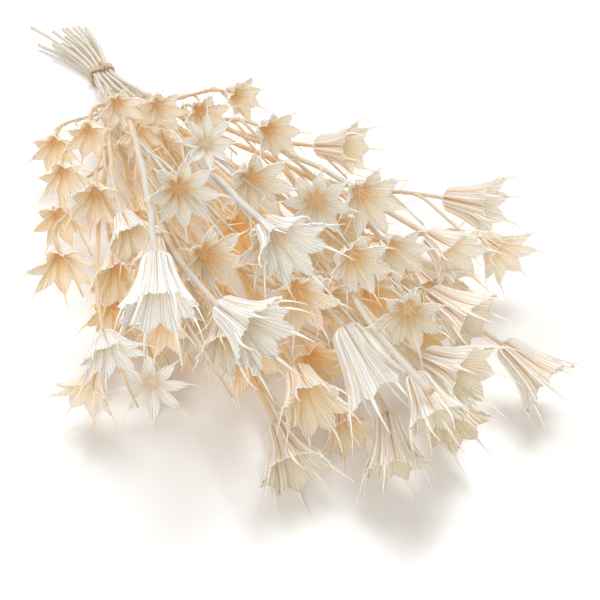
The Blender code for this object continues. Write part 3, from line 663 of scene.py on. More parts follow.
def roll_tube(mesh, points, radii, sides, marks, side=(0.0, 0.0, 1.0), flat=1.0, ridge=0.0):
    """Closed tube along points; flat is its thickness over its width."""
    points = np.asarray(points, float)
    ways = np.gradient(points, axis=0)
    ways /= np.linalg.norm(ways, axis=1)[:, None]
    side = np.asarray(side, float)
    side = side if abs(np.dot(unit(side), ways[0])) < 0.95 else np.array([1.0, 0.3, 0.1])
    angles = np.linspace(0.0, math.tau, sides + 1)
    swell = 1.0 + ridge * np.cos(np.arange(sides + 1) * math.pi)
    rings = []
    for point, way, radius in zip(points, ways, radii):
        side = unit(side - way * np.dot(side, way))
        other = np.cross(way, side) * flat
        rings.append(point + radius * (np.outer(np.cos(angles) * swell, side)
                                       + np.outer(np.sin(angles) * swell, other)))
    ends = [np.repeat(points[:1], sides + 1, axis=0), np.repeat(points[-1:], sides + 1, axis=0)]
    places = np.stack([ends[0]] + rings + [ends[1]])
    full = dict(marks)
    for name, value in marks.items():
        if np.ndim(value) == 1:
            full[name] = np.concatenate([value[:1], value, value[-1:]])[:, None]
    full.setdefault("across", (np.arange(sides + 1) % 2)[None, :])
    roll_sheet(mesh, places, full)


def smooth_route(points, spacing):
    """Evenly spaced points on a smooth curve through the given points."""
    points = np.asarray(points, float)
    padded = np.vstack([2 * points[0] - points[1], points, 2 * points[-1] - points[-2]])
    dense = []
    t = np.linspace(0.0, 1.0, 12, endpoint=False)[:, None]
    for a, b, c, d in zip(padded[:-3], padded[1:-2], padded[2:-1], padded[3:]):
        dense.append(0.5 * (2 * b + (c - a) * t + (2 * a - 5 * b + 4 * c - d) * t ** 2
                            + (3 * b - a - 3 * c + d) * t ** 3))
    dense = np.vstack(dense + [points[-1:]])
    lengths = run_lengths(dense)
    marks = np.linspace(0.0, lengths[-1], max(4, int(lengths[-1] / spacing) + 1))
    return resample(dense, lengths, marks), marks


def rib_band(pod, radius):
    """Half width of the flat back of a rib, as a share of half a follicle."""
    return np.minimum(0.42, RIB_BAND * pod.size
                      / np.maximum(radius * math.pi / pod.follicles, 0.4))


def pod_wall(pod, follicle, angle_shift, length_factor, share, across, wall, ripple):
    """Points of one follicle at shares of the rib and places across it, in the pod's frame.

    share and across are grids; wall is the depth behind the outer skin.
    """
    steps, height, radius, slope = rib_profile(pod.spread)
    reach = share * length_factor
    tilt = np.interp(reach, steps, slope)
    r = np.interp(reach, steps, radius)
    h = np.interp(reach, steps, height)
    past = np.maximum(reach - 1.0, 0.0) * RIB_LENGTH
    r = (r + past * np.sin(slope[-1])) * (1.0 + FLARE * share ** 2)
    h += past * np.cos(slope[-1])
    half = math.pi / pod.follicles
    band = rib_band(pod, r)
    spot = np.abs(across)
    valley = PAPER_VALLEY_FOOT + (PAPER_VALLEY_HEM - PAPER_VALLEY_FOOT) * share ** 0.75
    power = 2.4 - (0.8 + 0.7 * pod.spread) * share
    swell = np.sin(np.clip(share / 0.3, 0.0, 1.0) * math.pi / 2)
    ridge = RIDGE_HEIGHT * np.exp(-((spot - band) / (0.2 * band)) ** 2) * swell
    channel = CHANNEL_DEPTH * np.exp(-(spot / (0.55 * band)) ** 2) * swell
    # Folds stand along the wall's own normal, so that flat stars are pleated too.
    inward = (r * (1.0 - valley) * spot ** power - (ridge + channel) * (r > 1.5)
              - ripple + wall)
    r = r - inward * np.cos(tilt)
    h = h + inward * np.sin(tilt)
    angle = math.tau * follicle / pod.follicles + across * half + angle_shift
    return pod.size * np.stack([np.maximum(r, 0.15) * np.cos(angle),
                                np.maximum(r, 0.15) * np.sin(angle), h], axis=-1)


def shape_pod(mesh, pod, foot, turn, tone, rng, paper):
    """Papery pod with its wrinkled inside and its beaks."""
    half = math.pi / pod.follicles
    steps, _, radius, slope = rib_profile(pod.spread)
    depth = lobe_depth(pod.spread)
    outer = (np.arange(OUTER_ROWS) / (OUTER_ROWS - 1)) ** 1.15
    inner = 1.0 - (1.0 - FLOOR_SHARE) * np.linspace(0.0, 1.0, INNER_ROWS) ** 1.1
    lip = [(1.006, -0.14), (1.014, 0.5 * paper), (1.006, paper + 0.12)]
    shares = np.concatenate([outer, [s for s, _ in lip], inner])
    walls = np.concatenate([np.zeros(OUTER_ROWS), [w for _, w in lip],
                            np.full(INNER_ROWS, paper)])
    lengths = 1.0 + rng.uniform(-0.06, 0.06, pod.follicles)
    leans = rng.uniform(-0.035, 0.035, pod.follicles)
    phases = rng.uniform(0.0, math.tau, 5)
    # Column places follow the width of the rib's back at each row.
    near = rib_band(pod, np.interp(shares, steps, radius))[:, None] * np.array(COLUMN_PLACES)
    far = near[:, -1:] + (1.0 - near[:, -1:]) * np.array(OPEN_COLUMNS)
    right = np.hstack([near, far])
    across = np.hstack([-right[:, :0:-1], right])
    spot = np.abs(across)
    ridge = np.array(COLUMN_RIDGES + (0.0,) * len(OPEN_COLUMNS))
    ridge = np.maximum(np.concatenate([ridge[:0:-1], ridge]), (shares > 1.0)[:, None] * 1.0)
    # Neighbouring follicles share their groove, so length and lean fade out there.
    fade = 1.0 - spot ** 2
    sheets, folds, lines = [], [], []
    for k in range(pod.follicles):
        rag = HEM_RAG * np.cos(2.6 * math.tau * spot + phases[(k + 2) % 5]) * spot
        share = shares[:, None] * (1.0 - depth * spot ** LOBE_POWER - rag)
        angle = math.tau * k / pod.follicles + across * half
        wave = sum(WAVE * np.sin((m + 2) * angle + phase + 2.0 * share)
                   for m, phase in enumerate(phases))
        frill = FRILL * np.cos(2.4 * math.tau * spot + phases[k % 5] + 2.0 * share)
        ripple = wave * share ** 2 + frill * np.clip(share - 0.3, 0.0, 1.0) ** 1.5
        sheet = pod_wall(pod, k, leans[k] * fade * share, 1.0 + (lengths[k] - 1.0) * fade,
                         share, across, walls[:, None], ripple)
        columns = slice(None, None if k == pod.follicles - 1 else -1)
        sheets.append(sheet[:, columns])
        folds.append(spot[:, columns])
        lines.append(ridge[:, columns])
    places = np.concatenate(sheets, axis=1)
    places[:, -1] = places[:, 0]
    places[0] = (0.0, 0.0, -0.2)
    places[-1] = places[-1].mean(axis=0)
    inside = np.concatenate([np.zeros(OUTER_ROWS), [0.0, 0.5, 1.0], np.ones(INNER_ROWS)])
    roll_sheet(mesh, places @ turn.T + foot,
               {"across": np.concatenate(folds, axis=1), "inside": inside[:, None],
                "along": np.minimum(shares, 1.0)[:, None], "tone": tone,
                "ridge": np.concatenate(lines, axis=1)})
    for k in range(pod.follicles):
        grow_beak(mesh, pod, k, lengths[k], leans[k], foot, turn, tone, slope[-1], rng)


def grow_beak(mesh, pod, k, long, lean, foot, turn, tone, slope, rng):
    """Slender beak that carries a rib on past the hem."""
    along = np.linspace(BEAK_ROOT, 1.0, 5)
    zero = np.zeros_like(along)
    base = pod_wall(pod, k, lean * along, long, along, zero, zero - 0.02, zero)
    out = BEAK_LENGTH * pod.size * rng.uniform(0.85, 1.25)
    tilt, swing = slope, 0.0
    curl = rng.uniform(-0.55, 0.35) - 0.3 * slope
    twist = rng.uniform(-0.5, 0.5)
    angle = math.tau * k / pod.follicles + lean
    cosine, sine = math.cos(angle), math.sin(angle)
    point, points = base[-1], list(base)
    for _ in range(BEAK_STEPS):
        x, y, z = unit(np.array([math.sin(tilt), swing, math.cos(tilt)]))
        point = point + out / BEAK_STEPS * np.array([x * cosine - y * sine,
                                                     x * sine + y * cosine, z])
        points.append(point)
        tilt += curl / BEAK_STEPS
        swing += twist / BEAK_STEPS
    points = np.array(points)
    part = np.linspace(0.0, 1.0, len(points))
    radii = pod.size * np.interp(part, [0.0, 0.12, 0.36, 0.7, 1.0],
                                 [0.2, 0.66, 0.60, 0.30, 0.14])
    tangent = np.array([-sine, cosine, 0.0])
    roll_tube(mesh, points @ turn.T + foot, radii, 6,
              {"along": np.full(len(points), 1.0), "stalk": np.full(len(points), 0.6),
               "tone": tone, "across": 0.2},
              side=turn @ tangent, flat=0.55)


def grow_stem(mesh, strand, turn, tone, nodes, rng):
    """Ribbed stem with swollen nodes, from its root to inside its pod's foot."""
    points, marks = smooth_route(
        np.vstack([strand.points, strand.points[-1] + turn[:, 2] * 0.5]), 2.6)
    length = marks[-1]
    share = marks / length
    radii = strand.radius + (strand.end_radius - strand.radius) * share
    # Stems differ in thickness, the main ones only past the tie.
    stout = rng.uniform(0.85, 1.25)
    if strand.parent is None:
        radii *= 1.0 + (stout - 1.0) * np.clip((marks - 120.0) / 60.0, 0.0, 1.0)
    else:
        radii *= 1.0 + (0.9 * stout - 1.0)
    radii += FOOT_SWELLING * np.exp(-((length - 1.0 - marks) / 2.2) ** 2)
    for place in nodes:
        radii += NODE_SWELLING * np.exp(-((marks - place) / 1.7) ** 2)
    wander = rng.uniform(0.0, math.tau, 6)
    ease = np.sin(np.clip(np.minimum(marks, length - marks) / 25.0, 0.0, 1.0) * math.pi / 2)
    for axis_number in range(3):
        points[:, axis_number] += 0.35 * ease * (
            np.sin(marks / 17.0 + wander[axis_number])
            + 0.5 * np.sin(marks / 7.0 + wander[axis_number + 3]))
    cut = np.where((marks < 1.0) & (strand.parent is None), 1.0, 0.0)
    roll_tube(mesh, points, radii, 10,
              {"along": share, "stalk": np.ones(len(marks)), "inside": cut, "tone": tone},
              ridge=STEM_RIDGE)
    return points, marks


def broken_route(strands):
    """Spray that the broken stem grows from, and its route."""
    ends = []
    for pixel, height in BROKEN_STEM:
        ray = pixel_ray(pixel)
        ends.append(VIEW_POINT + ray * ((height - VIEW_POINT[2]) / ray[2]))
    away, spray, root = min(
        ((float(np.linalg.norm(point - ends[0])), strand.spray, tuple(point))
         for strand in strands for point in strand.points[4:-2]), key=lambda item: item[0])
    root = np.array(root)
    bend = ends[0] + 0.3 * (ends[0] - ends[1])
    return spray, even_curve((root, 0.5 * (root + bend), bend, ends[1]), 3.0)


def grow_broken_stem(mesh, route, tone):
    """Short thick stem that ends in a brown break."""
    count = len(route)
    part = np.linspace(0.0, 1.0, count)
    ended = (part > 0.97).astype(float)
    radii = np.interp(part, [0.0, 0.9, 1.0], [1.2, 1.45, 1.6])
    roll_tube(mesh, route, radii, 10,
              {"along": part * (1.0 - ended), "stalk": 1.0 - ended, "inside": ended,
               "tone": tone}, ridge=STEM_RIDGE)


def grow_threads(mesh, points, marks, place, count, tone, rng):
    """Dried threads of a finely cut leaf, all from one node."""
    low = int(np.clip(np.searchsorted(marks, place), 1, len(points) - 2))
    way = unit(points[low + 1] - points[low - 1])
    around = rng.uniform(0.0, math.tau)
    side = unit(np.cross(way, (0.3, 0.2, 1.0)))
    other = np.cross(way, side)
    for number in range(count):
        angle = around + math.tau * number / count + rng.uniform(-0.4, 0.4)
        out = side * math.cos(angle) + other * math.sin(angle)
        heading = unit(way * rng.uniform(0.5, 1.6) + out)
        bend = unit(rng.normal(size=3)) * rng.uniform(0.04, 0.16)
        route = walk(points[low], heading, rng.uniform(5.0, 14.0) / 8, 9, bend)
        route[:, 2] = np.maximum(route[:, 2], 0.4)
        roll_tube(mesh, route, np.linspace(*THREAD_RADII, 9), 4,
                  {"along": np.linspace(0.0, 1.0, 9), "stalk": np.ones(9), "tone": tone,
                   "across": 0.0})


def grow_twig(mesh, points, marks, place, tone, rng):
    """Thin side twig that runs beside its stem and ends in leaf threads."""
    low = int(np.clip(np.searchsorted(marks, place), 1, len(points) - 2))
    way = unit(points[low + 1] - points[low - 1])
    heading = unit(way + 0.20 * unit(rng.normal(size=3) * (1.0, 1.0, 0.4)))
    pull = unit(0.4 * rng.normal(size=3) + way) * rng.uniform(0.01, 0.04)
    stride = rng.uniform(45.0, 100.0) / 11
    route = walk(points[low], heading, stride, 12, pull)
    route[:, 2] = np.clip(route[:, 2], 1.2, points[low][2] + 3.0)
    # No twig reaches past the outer stems.
    wide = abs(points[low][0]) + 6.0
    route[:, 0] = np.clip(route[:, 0], -wide, wide)
    roll_tube(mesh, route, np.linspace(*TWIG_RADII, 12), 6,
              {"along": np.linspace(0.0, 1.0, 12), "stalk": np.ones(12), "tone": tone})
    twig_marks = np.arange(12) * stride
    for spot in (twig_marks[6], twig_marks[10]):
        grow_threads(mesh, route, twig_marks, spot, 1, tone, rng)


def finish_piece(name, mesh, material, nodes):
    """Mesh object that stands for CAD nodes and rides with the bunch."""
    bmesh.ops.recalc_face_normals(mesh, faces=mesh.faces[:])
    for face in mesh.faces:
        face.smooth = True
    data = bpy.data.meshes.new(name)
    mesh.to_mesh(data)
    mesh.free()
    data.materials.append(material)
    item = bpy.data.objects.new(name, data)
    bpy.context.scene.collection.objects.link(item)
    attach(item, "root")
    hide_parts(*nodes)
    return item


def grow_spray(number, members, strands, pods, feet, turns, broken, material, sizes):
    """One spray: stem, branches, pods and leaf threads."""
    rng = np.random.default_rng(1000 + number)
    mesh = new_mesh()
    shade = rng.uniform(-0.25, 0.25)
    wedge, layer = divmod(number, LAYERS)
    within = 0 < wedge < WEDGES - 1 and layer < LAYERS - 1
    papers = {}
    for index in members:
        pod = strands[index].pod
        full = fullness(pods[pod]) * SMALLER_PODS.get(pod, 1.0)
        paper = pods[pod]._replace(size=full * pods[pod].size)
        lift = lift_needed(paper, feet[pod], turns[pod])
        papers[pod] = (paper, feet[pod] + (0.0, 0.0, lift))
        # The stem's end rises with its pod.
        points = strands[index].points.copy()
        away = np.linalg.norm(points - points[-1], axis=1)
        points[:, 2] += lift * np.clip(1.0 - away / 60.0, 0.0, 1.0) ** 1.5
        strands[index] = strands[index]._replace(points=points)
    for index in members:
        strand = strands[index]
        length = float(np.sum(np.linalg.norm(np.diff(strand.points, axis=0), axis=1)))
        nodes = [length * part for part in (rng.uniform(0.3, 0.45), rng.uniform(0.6, 0.8))]
        if strand.parent is None:
            reach = run_lengths(strand.points)
            nodes += [float(np.interp(strands[i].place, np.arange(len(reach)), reach))
                      for i in members if strands[i].parent is not None]
            nodes.append(float(reach[4]) + rng.uniform(35.0, 60.0))
        points, marks = grow_stem(mesh, strand, turns[strand.pod], shade, nodes, rng)
        for place in nodes:
            grow_threads(mesh, points, marks, place, int(rng.integers(2, 4)), shade, rng)
            at = points[min(int(np.searchsorted(marks, place)), len(points) - 1)]
            for _ in range(0 if at[1] < TWIG_REACH else 2 if within else 1):
                grow_twig(mesh, points, marks, place, shade, rng)
        if rng.random() < 0.5:
            grow_threads(mesh, points, marks, marks[-1] - rng.uniform(3.0, 9.0),
                         int(rng.integers(2, 4)), shade, rng)
    if broken[0] == number:
        grow_broken_stem(mesh, broken[1], shade)
    for index in members:
        pod = strands[index].pod
        tone = (1.0 if pod in COOL_WHITE_PODS else -0.8 if pod in BLUSH_PODS
                else rng.uniform(-0.35, 0.35))
        paper, foot = papers[pod]
        shape_pod(mesh, paper, foot, turns[pod], tone, rng, sizes.paper_thickness / MM)
    # How much of the painted depth shade the spray takes: all of it for the inner sprays.
    deep = mesh.verts.layers.float["deep"]
    for vertex in mesh.verts:
        vertex[deep] = 1.0 if within else 0.35
    name = "stem_%02d" % (number + 1)
    return finish_piece("spray_%02d" % (number + 1), mesh, material, [name])


def tie_route(turn, out):
    """Centre of a wrap at a part of a turn, on the rounded rectangle round the stems."""
    flat_x, flat_z = TIE_INNER_X - TIE_CORNER, TIE_INNER_Z - TIE_CORNER
    bend = TIE_CORNER + out
    arc = 0.5 * math.pi * bend
    legs = [2 * flat_x, arc, 2 * flat_z, arc] * 2
    along = (turn % 1.0) * sum(legs)
    # The path starts under the stems at +X and runs to -X, up, over and down again.
    corners = [((-flat_x, -flat_z), 270.0), ((-flat_x, flat_z), 180.0),
               ((flat_x, flat_z), 90.0), ((flat_x, -flat_z), 0.0)]
    starts = [((flat_x, -flat_z - bend), (-1, 0)), ((-flat_x - bend, -flat_z), (0, 1)),
              ((-flat_x, flat_z + bend), (1, 0)), ((flat_x + bend, flat_z), (0, -1))]
    for leg in range(4):
        straight = legs[2 * leg]
        if along <= straight:
            (x, z), (dx, dz) = starts[leg]
            return x + dx * along, TIE_MIDDLE + z + dz * along
        along -= straight
        if along <= arc or leg == 3:
            (x, z), angle = corners[leg]
            angle = math.radians(angle) - along / bend
            return x + bend * math.cos(angle), TIE_MIDDLE + z + bend * math.sin(angle)
        along -= arc
    raise RuntimeError("the tie's path did not close")


def twist_plies(mesh, centre, ply_radius, offset, pitch, rng):
    """Three plies twisted round a centre line, with a few loose fibres."""
    centre = np.asarray(centre, float)
    length = run_lengths(centre)
    ways = np.gradient(centre, axis=0)
    ways /= np.linalg.norm(ways, axis=1)[:, None]
    side = unit(np.cross(ways[0], (0.0, 1.0, 0.2)))
    frames = []
    for way in ways:
        side = unit(side - way * np.dot(side, way))
        frames.append((side, np.cross(way, side)))
    for ply in range(3):
        turn = math.tau * (length / pitch + ply / 3.0)
        points = np.array([point + offset * (a * math.cos(t) + b * math.sin(t))
                           for point, (a, b), t in zip(centre, frames, turn)])
        roll_tube(mesh, points, np.full(len(points), ply_radius), 7,
                  {"along": length, "stalk": np.zeros(len(points))},
                  side=frames[0][0])
    for _ in range(int(length[-1] / 5.0)):
        low = int(rng.integers(4, len(centre) - 4))
        a, b = frames[low]
        angle = rng.uniform(0.0, math.tau)
        out = a * math.cos(angle) + b * math.sin(angle)
        start = centre[low] + out * (offset + 0.3 * ply_radius)
        heading = unit(out * rng.uniform(0.2, 0.7) + ways[low] * rng.choice([-1.0, 1.0]))
        route = walk(start, heading, 0.45, 6, unit(rng.normal(size=3)) * 0.25)
        route[:, 2] = np.maximum(route[:, 2], 0.12)
        roll_tube(mesh, route, np.linspace(0.07, 0.03, 6), 3,
                  {"along": np.zeros(6), "stalk": np.zeros(6)})


def wind_tie(material, sizes):
    """Twine wound round the stems, with a cinching turn over the top."""
    rng = np.random.default_rng(7)
    twine = sizes.twine_thickness / MM
    ply, offset = 0.27 * twine, 0.23 * twine
    mesh = new_mesh()
    wrap = TIE_WIDTH / WRAPS
    centre = []
    for turn in np.linspace(0.0, WRAPS, WRAPS * 90 + 1):
        x, z = tie_route(turn, 0.5 * TIE_THICKNESS)
        y = -0.5 * TIE_WIDTH + 0.5 * wrap + (TIE_WIDTH - wrap) * turn / WRAPS
        centre.append((x, y, z))
    twist_plies(mesh, centre, ply, offset, 3.1 * twine, rng)
    top = TIE_MIDDLE + (TIE_INNER_Z + TIE_THICKNESS)
    # A short loop is drawn tight across the wraps and tucked in at both edges.
    for lean, lift in ((1.3, 0.80), (-1.1, 1.05)):
        angles = np.linspace(-0.15 * math.pi, 1.15 * math.pi, 48)
        loop = [(2.0 + lean * math.cos(a), (0.5 * TIE_WIDTH + 0.6) * math.cos(a),
                 top + (lift * twine + 0.2) * math.sin(a) - 0.3) for a in angles]
        twist_plies(mesh, loop, ply, offset, 3.1 * twine, rng)
    return finish_piece("twine_tie", mesh, material, ["tie"])


class Wire:
    """Output of a shader node, for writing shader maths as expressions."""

    def __init__(self, tree, socket=None):
        self.tree, self.socket = tree, socket

    def node(self, kind, settings=(), inputs=(), out=0):
        """Adds a node: its settings first, then the values or links of its sockets."""
        made = self.tree.nodes.new(kind)
        for name, value in dict(settings).items():
            setattr(made, name, value)
        for key, value in dict(inputs).items():
            if isinstance(value, Wire):
                self.tree.links.new(value.socket, made.inputs[key])
            else:
                made.inputs[key].default_value = value
        return Wire(self.tree, made.outputs[out])

    def math(self, operation, *values, clamp=False):
        return self.node("ShaderNodeMath", {"operation": operation, "use_clamp": clamp},
                         enumerate(values))

    def __add__(self, other):
        return self.math("ADD", self, other)

    def __sub__(self, other):
        return self.math("SUBTRACT", self, other)

    def __rsub__(self, other):
        return self.math("SUBTRACT", other, self)

    def __mul__(self, other):
        return self.math("MULTIPLY", self, other)

    def __pow__(self, other):
        return self.math("POWER", self, other)

    __radd__, __rmul__ = __add__, __mul__

    def clamped(self):
        return self.math("MULTIPLY", self, 1.0, clamp=True)

    def above(self, level, gain):
        """Rises from 0 to 1 over 1 / gain from a level up."""
        return ((self - level) * gain).clamped()

    def below(self, level, gain):
        """Rises from 0 to 1 over 1 / gain from a level down."""
        return ((level - self) * gain).clamped()

    def wave(self):
        """Cosine of this value, moved to 0..1."""
        return self.math("COSINE", self) * 0.5 + 0.5

    def attribute(self, name):
        return self.node("ShaderNodeAttribute", {"attribute_name": name}, out="Fac")

    def noise(self, scale, detail=3.0, roughness=0.55):
        place = self.node("ShaderNodeTexCoord", out="Object")
        return self.node("ShaderNodeTexNoise", {}, {"Vector": place, "Scale": scale,
                         "Detail": detail, "Roughness": roughness}, out="Fac")

    def moved(self, by):
        """Vector less a fixed vector."""
        return self.node("ShaderNodeVectorMath", {"operation": "SUBTRACT"},
                         {0: self, 1: tuple(float(value) for value in by)})

    def mix(self, share, first, second):
        """Colour between two colours."""
        return self.node("ShaderNodeMix", {"data_type": "RGBA"},
                         {0: share, 6: rgba(first), 7: rgba(second)}, out=2)


def rgba(colour):
    """Four numbers for a colour socket, or the wire as it is."""
    return colour if isinstance(colour, Wire) else (*tuple(colour)[:3], 1.0)


def new_material(name, **constants):
    """Material with fixed values on its shader's sockets."""
    material = bpy.data.materials.new(name)
    material.use_nodes = True
    shader = material.node_tree.nodes["Principled BSDF"]
    for key, value in constants.items():
        shader.inputs[key.replace("_", " ")].default_value = value
    return material, shader, Wire(material.node_tree)


def connect(shader, wires):
    """Link wires to the shader's sockets by name."""
    for name, wire in wires.items():
        wire.tree.links.new(wire.socket, shader.inputs[name])


# Veins in half a follicle, the painted shade colour of the nearest insides, and the colours and
# strength of the painted glow that stands for light through the paper.
VEINS = 4.0
SHADED_PAPER = (0.66, 0.56, 0.38)
PAPER_GLOW, GOLDEN_GLOW, FAR_GLOW = (0.40, 0.32, 0.20), (1.45, 0.86, 0.30), (1.0, 0.86, 0.68)
GLOW_STRENGTH = 0.17


def pod_material(colours):
    """Bleached paper of pods and stems: pale ribs, veined walls, amber insides, with painted
    shade in grooves, creases and depths, painted light on top and a painted glow.
    """
    material, shader, w = new_material(
        "bleached pod paper", Subsurface_Weight=0.35, Subsurface_Radius=(1.0, 0.62, 0.36),
        Subsurface_Scale=0.0016, Specular_IOR_Level=0.32, Emission_Strength=GLOW_STRENGTH)
    across, along, inside, tone, stalk, ridge, deep = [w.attribute(name) for name in MARKS]
    blotch = w.noise(70.0)
    fibre = w.noise(900.0, 2.0)
    wobble = w.noise(160.0)
    place = {"Vector": w.node("ShaderNodeTexCoord", out="Object").moved(UNDER_TIE)}
    level, back = [w.node("ShaderNodeSeparateXYZ", {}, place, out=axis) for axis in "ZY"]
    # Veins fan out from the foot to the hem on both sides of each rib.
    fan = (across * VEINS + wobble * 0.8) * math.tau
    veins = fan.wave() ** 3.0
    # Painted shade: thin dark lines between the veins stand for the shade in fine creases.
    creases = fan.math("SINE").clamped() ** 8.0
    low = 1.0 - along
    # Grooves near the foot, seams between follicles and the channel along each rib are
    # darkened: partly the paper's own tint, partly painted shade.
    groove = ((across ** 3.0) * (low ** 0.8) * 1.6).clamped()
    channel = ((1.0 - across * 5.0).clamped() * (1.0 - ridge) * low ** 0.6).clamped()
    seam = (across * 9.0 - 8.0).clamped()
    outer = w.mix(ridge, colours.wall_colour, colours.rib_colour)
    outer = w.mix((groove + seam * 0.5).clamped(), outer, colours.groove_colour)
    outer = w.mix(channel, outer, colours.channel_colour)
    outer = w.mix(veins * 0.35, outer, colours.rib_colour)
    outer = w.mix(creases * 0.25, outer, colours.channel_colour)
    # Inside each cup the colour goes from pale at the hem to amber at the heart: partly the
    # paper's own colour, partly painted shade deep in the cup.
    depth = (low ** 4.0 * 3.4).clamped()
    inner = w.mix(((along - 0.3) * 1.6).clamped(), colours.inside_colour,
                  colours.rib_colour)
    inner = w.mix(depth, inner, colours.heart_colour)
    inner = w.mix(veins * 0.7, inner, colours.vein_colour)
    inner = w.mix(creases * 0.4, inner, colours.crease_colour)
    inner = w.mix((ridge * 0.6 + seam * 0.7).clamped(), inner, colours.vein_colour)
    colour = w.mix(inside, outer, inner)
    stem = w.mix((blotch * 2.0 - 0.6).clamped(), colours.stem_colour, colours.rib_colour)
    stem = w.mix(across * 0.25, stem, colours.wall_colour)
    colour = w.mix(stalk * (1.0 - inside * 0.8), colour, stem)
    colour = w.mix((blotch - 0.45).clamped() * 0.5, colour, colours.wall_colour)
    # Painted shade: paper and stems low and deep in the bunch are drawn toward a warm shade
    # colour, painted light whitens what stands higher, and the cut end is paler.
    depth_shade = level.below(0.074, 26.0) * back.below(-0.04, 12.0) * back.above(-0.42, 7.0)
    depth_shade = depth_shade * (1.0 - (tone * tone * 3.0).clamped()) * (deep + stalk * 0.45).clamped()
    colour = w.mix(depth_shade * 0.8, colour, colours.depth_shade_colour)
    # Painted light: paper and stems higher above the floor are whitened.
    colour = w.mix(level.above(0.052, 22.0) * (stalk * 0.35 + 0.40) * (1.0 - inside * 0.75),
                   colour, colours.frost_and_top_light_colour)
    colour = w.mix(back.above(-0.20, 3.0) * 0.5, colour, colours.stem_colour)
    colour = w.mix((tone * 0.55).clamped(), colour, colours.frost_and_top_light_colour)
    colour = w.mix((tone * -0.45).clamped(), colour, colours.blush_colour)
    colour = w.mix(ridge * (1.0 - inside) * 0.8, colour, colours.rib_colour)
    roughness = 0.62 + blotch * 0.12 - veins * 0.06
    relief = veins * 0.6 + fibre * 0.15 + blotch * 0.3 + seam * inside * 0.5
    bump = w.node("ShaderNodeBump", {}, {"Strength": 0.8, "Distance": 0.0009,
                                         "Height": relief}, out="Normal")
    # Painted shade: the insides of the nearest pods are drawn toward a shaded paper colour, as
    # they lie in their own shade.
    colour = w.mix(inside * back.below(-0.33, 10.0) * 0.5, colour, SHADED_PAPER)
    # Painted glow: an emission stands for light passing through the thin paper, warmer deep in
    # the bunch and at the hearts, stronger towards the cut ends.
    glow = w.mix(depth_shade, PAPER_GLOW, GOLDEN_GLOW)
    glow = w.mix(back.above(-0.27, 6.0) * (inside * 0.6 + 0.25), glow, FAR_GLOW)
    glow = w.mix((inside * low ** 2.5).clamped(), glow, colours.heart_colour)
    connect(shader, {"Base Color": colour, "Roughness": roughness, "Normal": bump,
                     "Emission Color": glow})
    return material


def twine_material(colours):
    """Plain twisted twine."""
    material, shader, w = new_material("plain twine", Sheen_Weight=0.25,
                                       Specular_IOR_Level=0.25)
    across, along = w.attribute("across"), w.attribute("along")
    blotch = w.noise(260.0)
    strand = w.noise(1400.0, 4.0)
    colour = w.mix(blotch, colours.twine_colour, colours.twine_dark_colour)
    colour = w.mix((strand * 1.6 - 0.5).clamped() * 0.5, colour, (0.80, 0.68, 0.50))
    roughness = 0.78 + strand * 0.15
    height = strand + across * 0.3 + (along * 5.0).wave() * 0.2
    bump = w.node("ShaderNodeBump", {}, {"Strength": 0.7, "Distance": 0.0003,
                                         "Height": height}, out="Normal")
    connect(shader, {"Base Color": colour, "Roughness": roughness, "Normal": bump})
    return material


def colour_property(name, about, default):
    """Colour that a user may change."""
    return bpy.props.FloatVectorProperty(name=name, description=about, default=default,
                                         subtype="COLOR", size=3, min=0.0, max=1.0)


class SpraySettings(bpy.types.PropertyGroup):
    """Sizes and colours of the pods and stems."""
    paper_thickness: bpy.props.FloatProperty(
        name="Paper thickness", description="Thickness of a pod's wall",
        default=0.00045, min=0.0001, max=0.001, precision=5, unit="LENGTH")
    rib_colour: colour_property("Rib colour", "Backs of the ribs", (0.96, 0.95, 0.92))
    wall_colour: colour_property("Wall colour", "Walls between ribs", (0.91, 0.85, 0.77))
    channel_colour: colour_property("Channel colour", "Narrow channel along each rib",
                                    (0.66, 0.38, 0.25))
    groove_colour: colour_property("Groove colour", "Grooves near the foot",
                                   (0.66, 0.32, 0.13))
    vein_colour: colour_property("Vein colour", "Fine raised veins", (0.96, 0.94, 0.88))
    inside_colour: colour_property("Inside colour", "Inner walls at half height",
                                   (0.92, 0.80, 0.55))
    crease_colour: colour_property("Crease colour", "Fine creases inside the pods",
                                   (0.66, 0.47, 0.25))
    heart_colour: colour_property("Heart colour", "Deepest part of the inside",
                                  (0.86, 0.45, 0.09))
    # Painted shade: the warm colour of paper and stems low and deep in the bunch.
    depth_shade_colour: colour_property("Golden colour", "Paper and stems low in the bunch",
                                   (0.87, 0.54, 0.22))
    stem_colour: colour_property("Stem colour", "Stems and beaks", (0.91, 0.83, 0.71))
    blush_colour: colour_property("Blush colour", "Pinkish pods", (0.90, 0.76, 0.65))
    # The whitest pods' own colour, and the painted light on what stands higher.
    frost_and_top_light_colour: colour_property("Frost colour", "Whitest pods", (0.94, 0.94, 0.92))


class TieSettings(bpy.types.PropertyGroup):
    """Size and colours of the tie."""
    twine_thickness: bpy.props.FloatProperty(
        name="Twine thickness", description="Diameter of the twisted twine",
        default=0.002, min=0.001, max=0.003, precision=4, unit="LENGTH")
    twine_colour: colour_property("Twine colour", "Outer fibres", (0.74, 0.59, 0.40))
    twine_dark_colour: colour_property("Twine shade", "Fibres between the plies",
                                       (0.50, 0.35, 0.20))


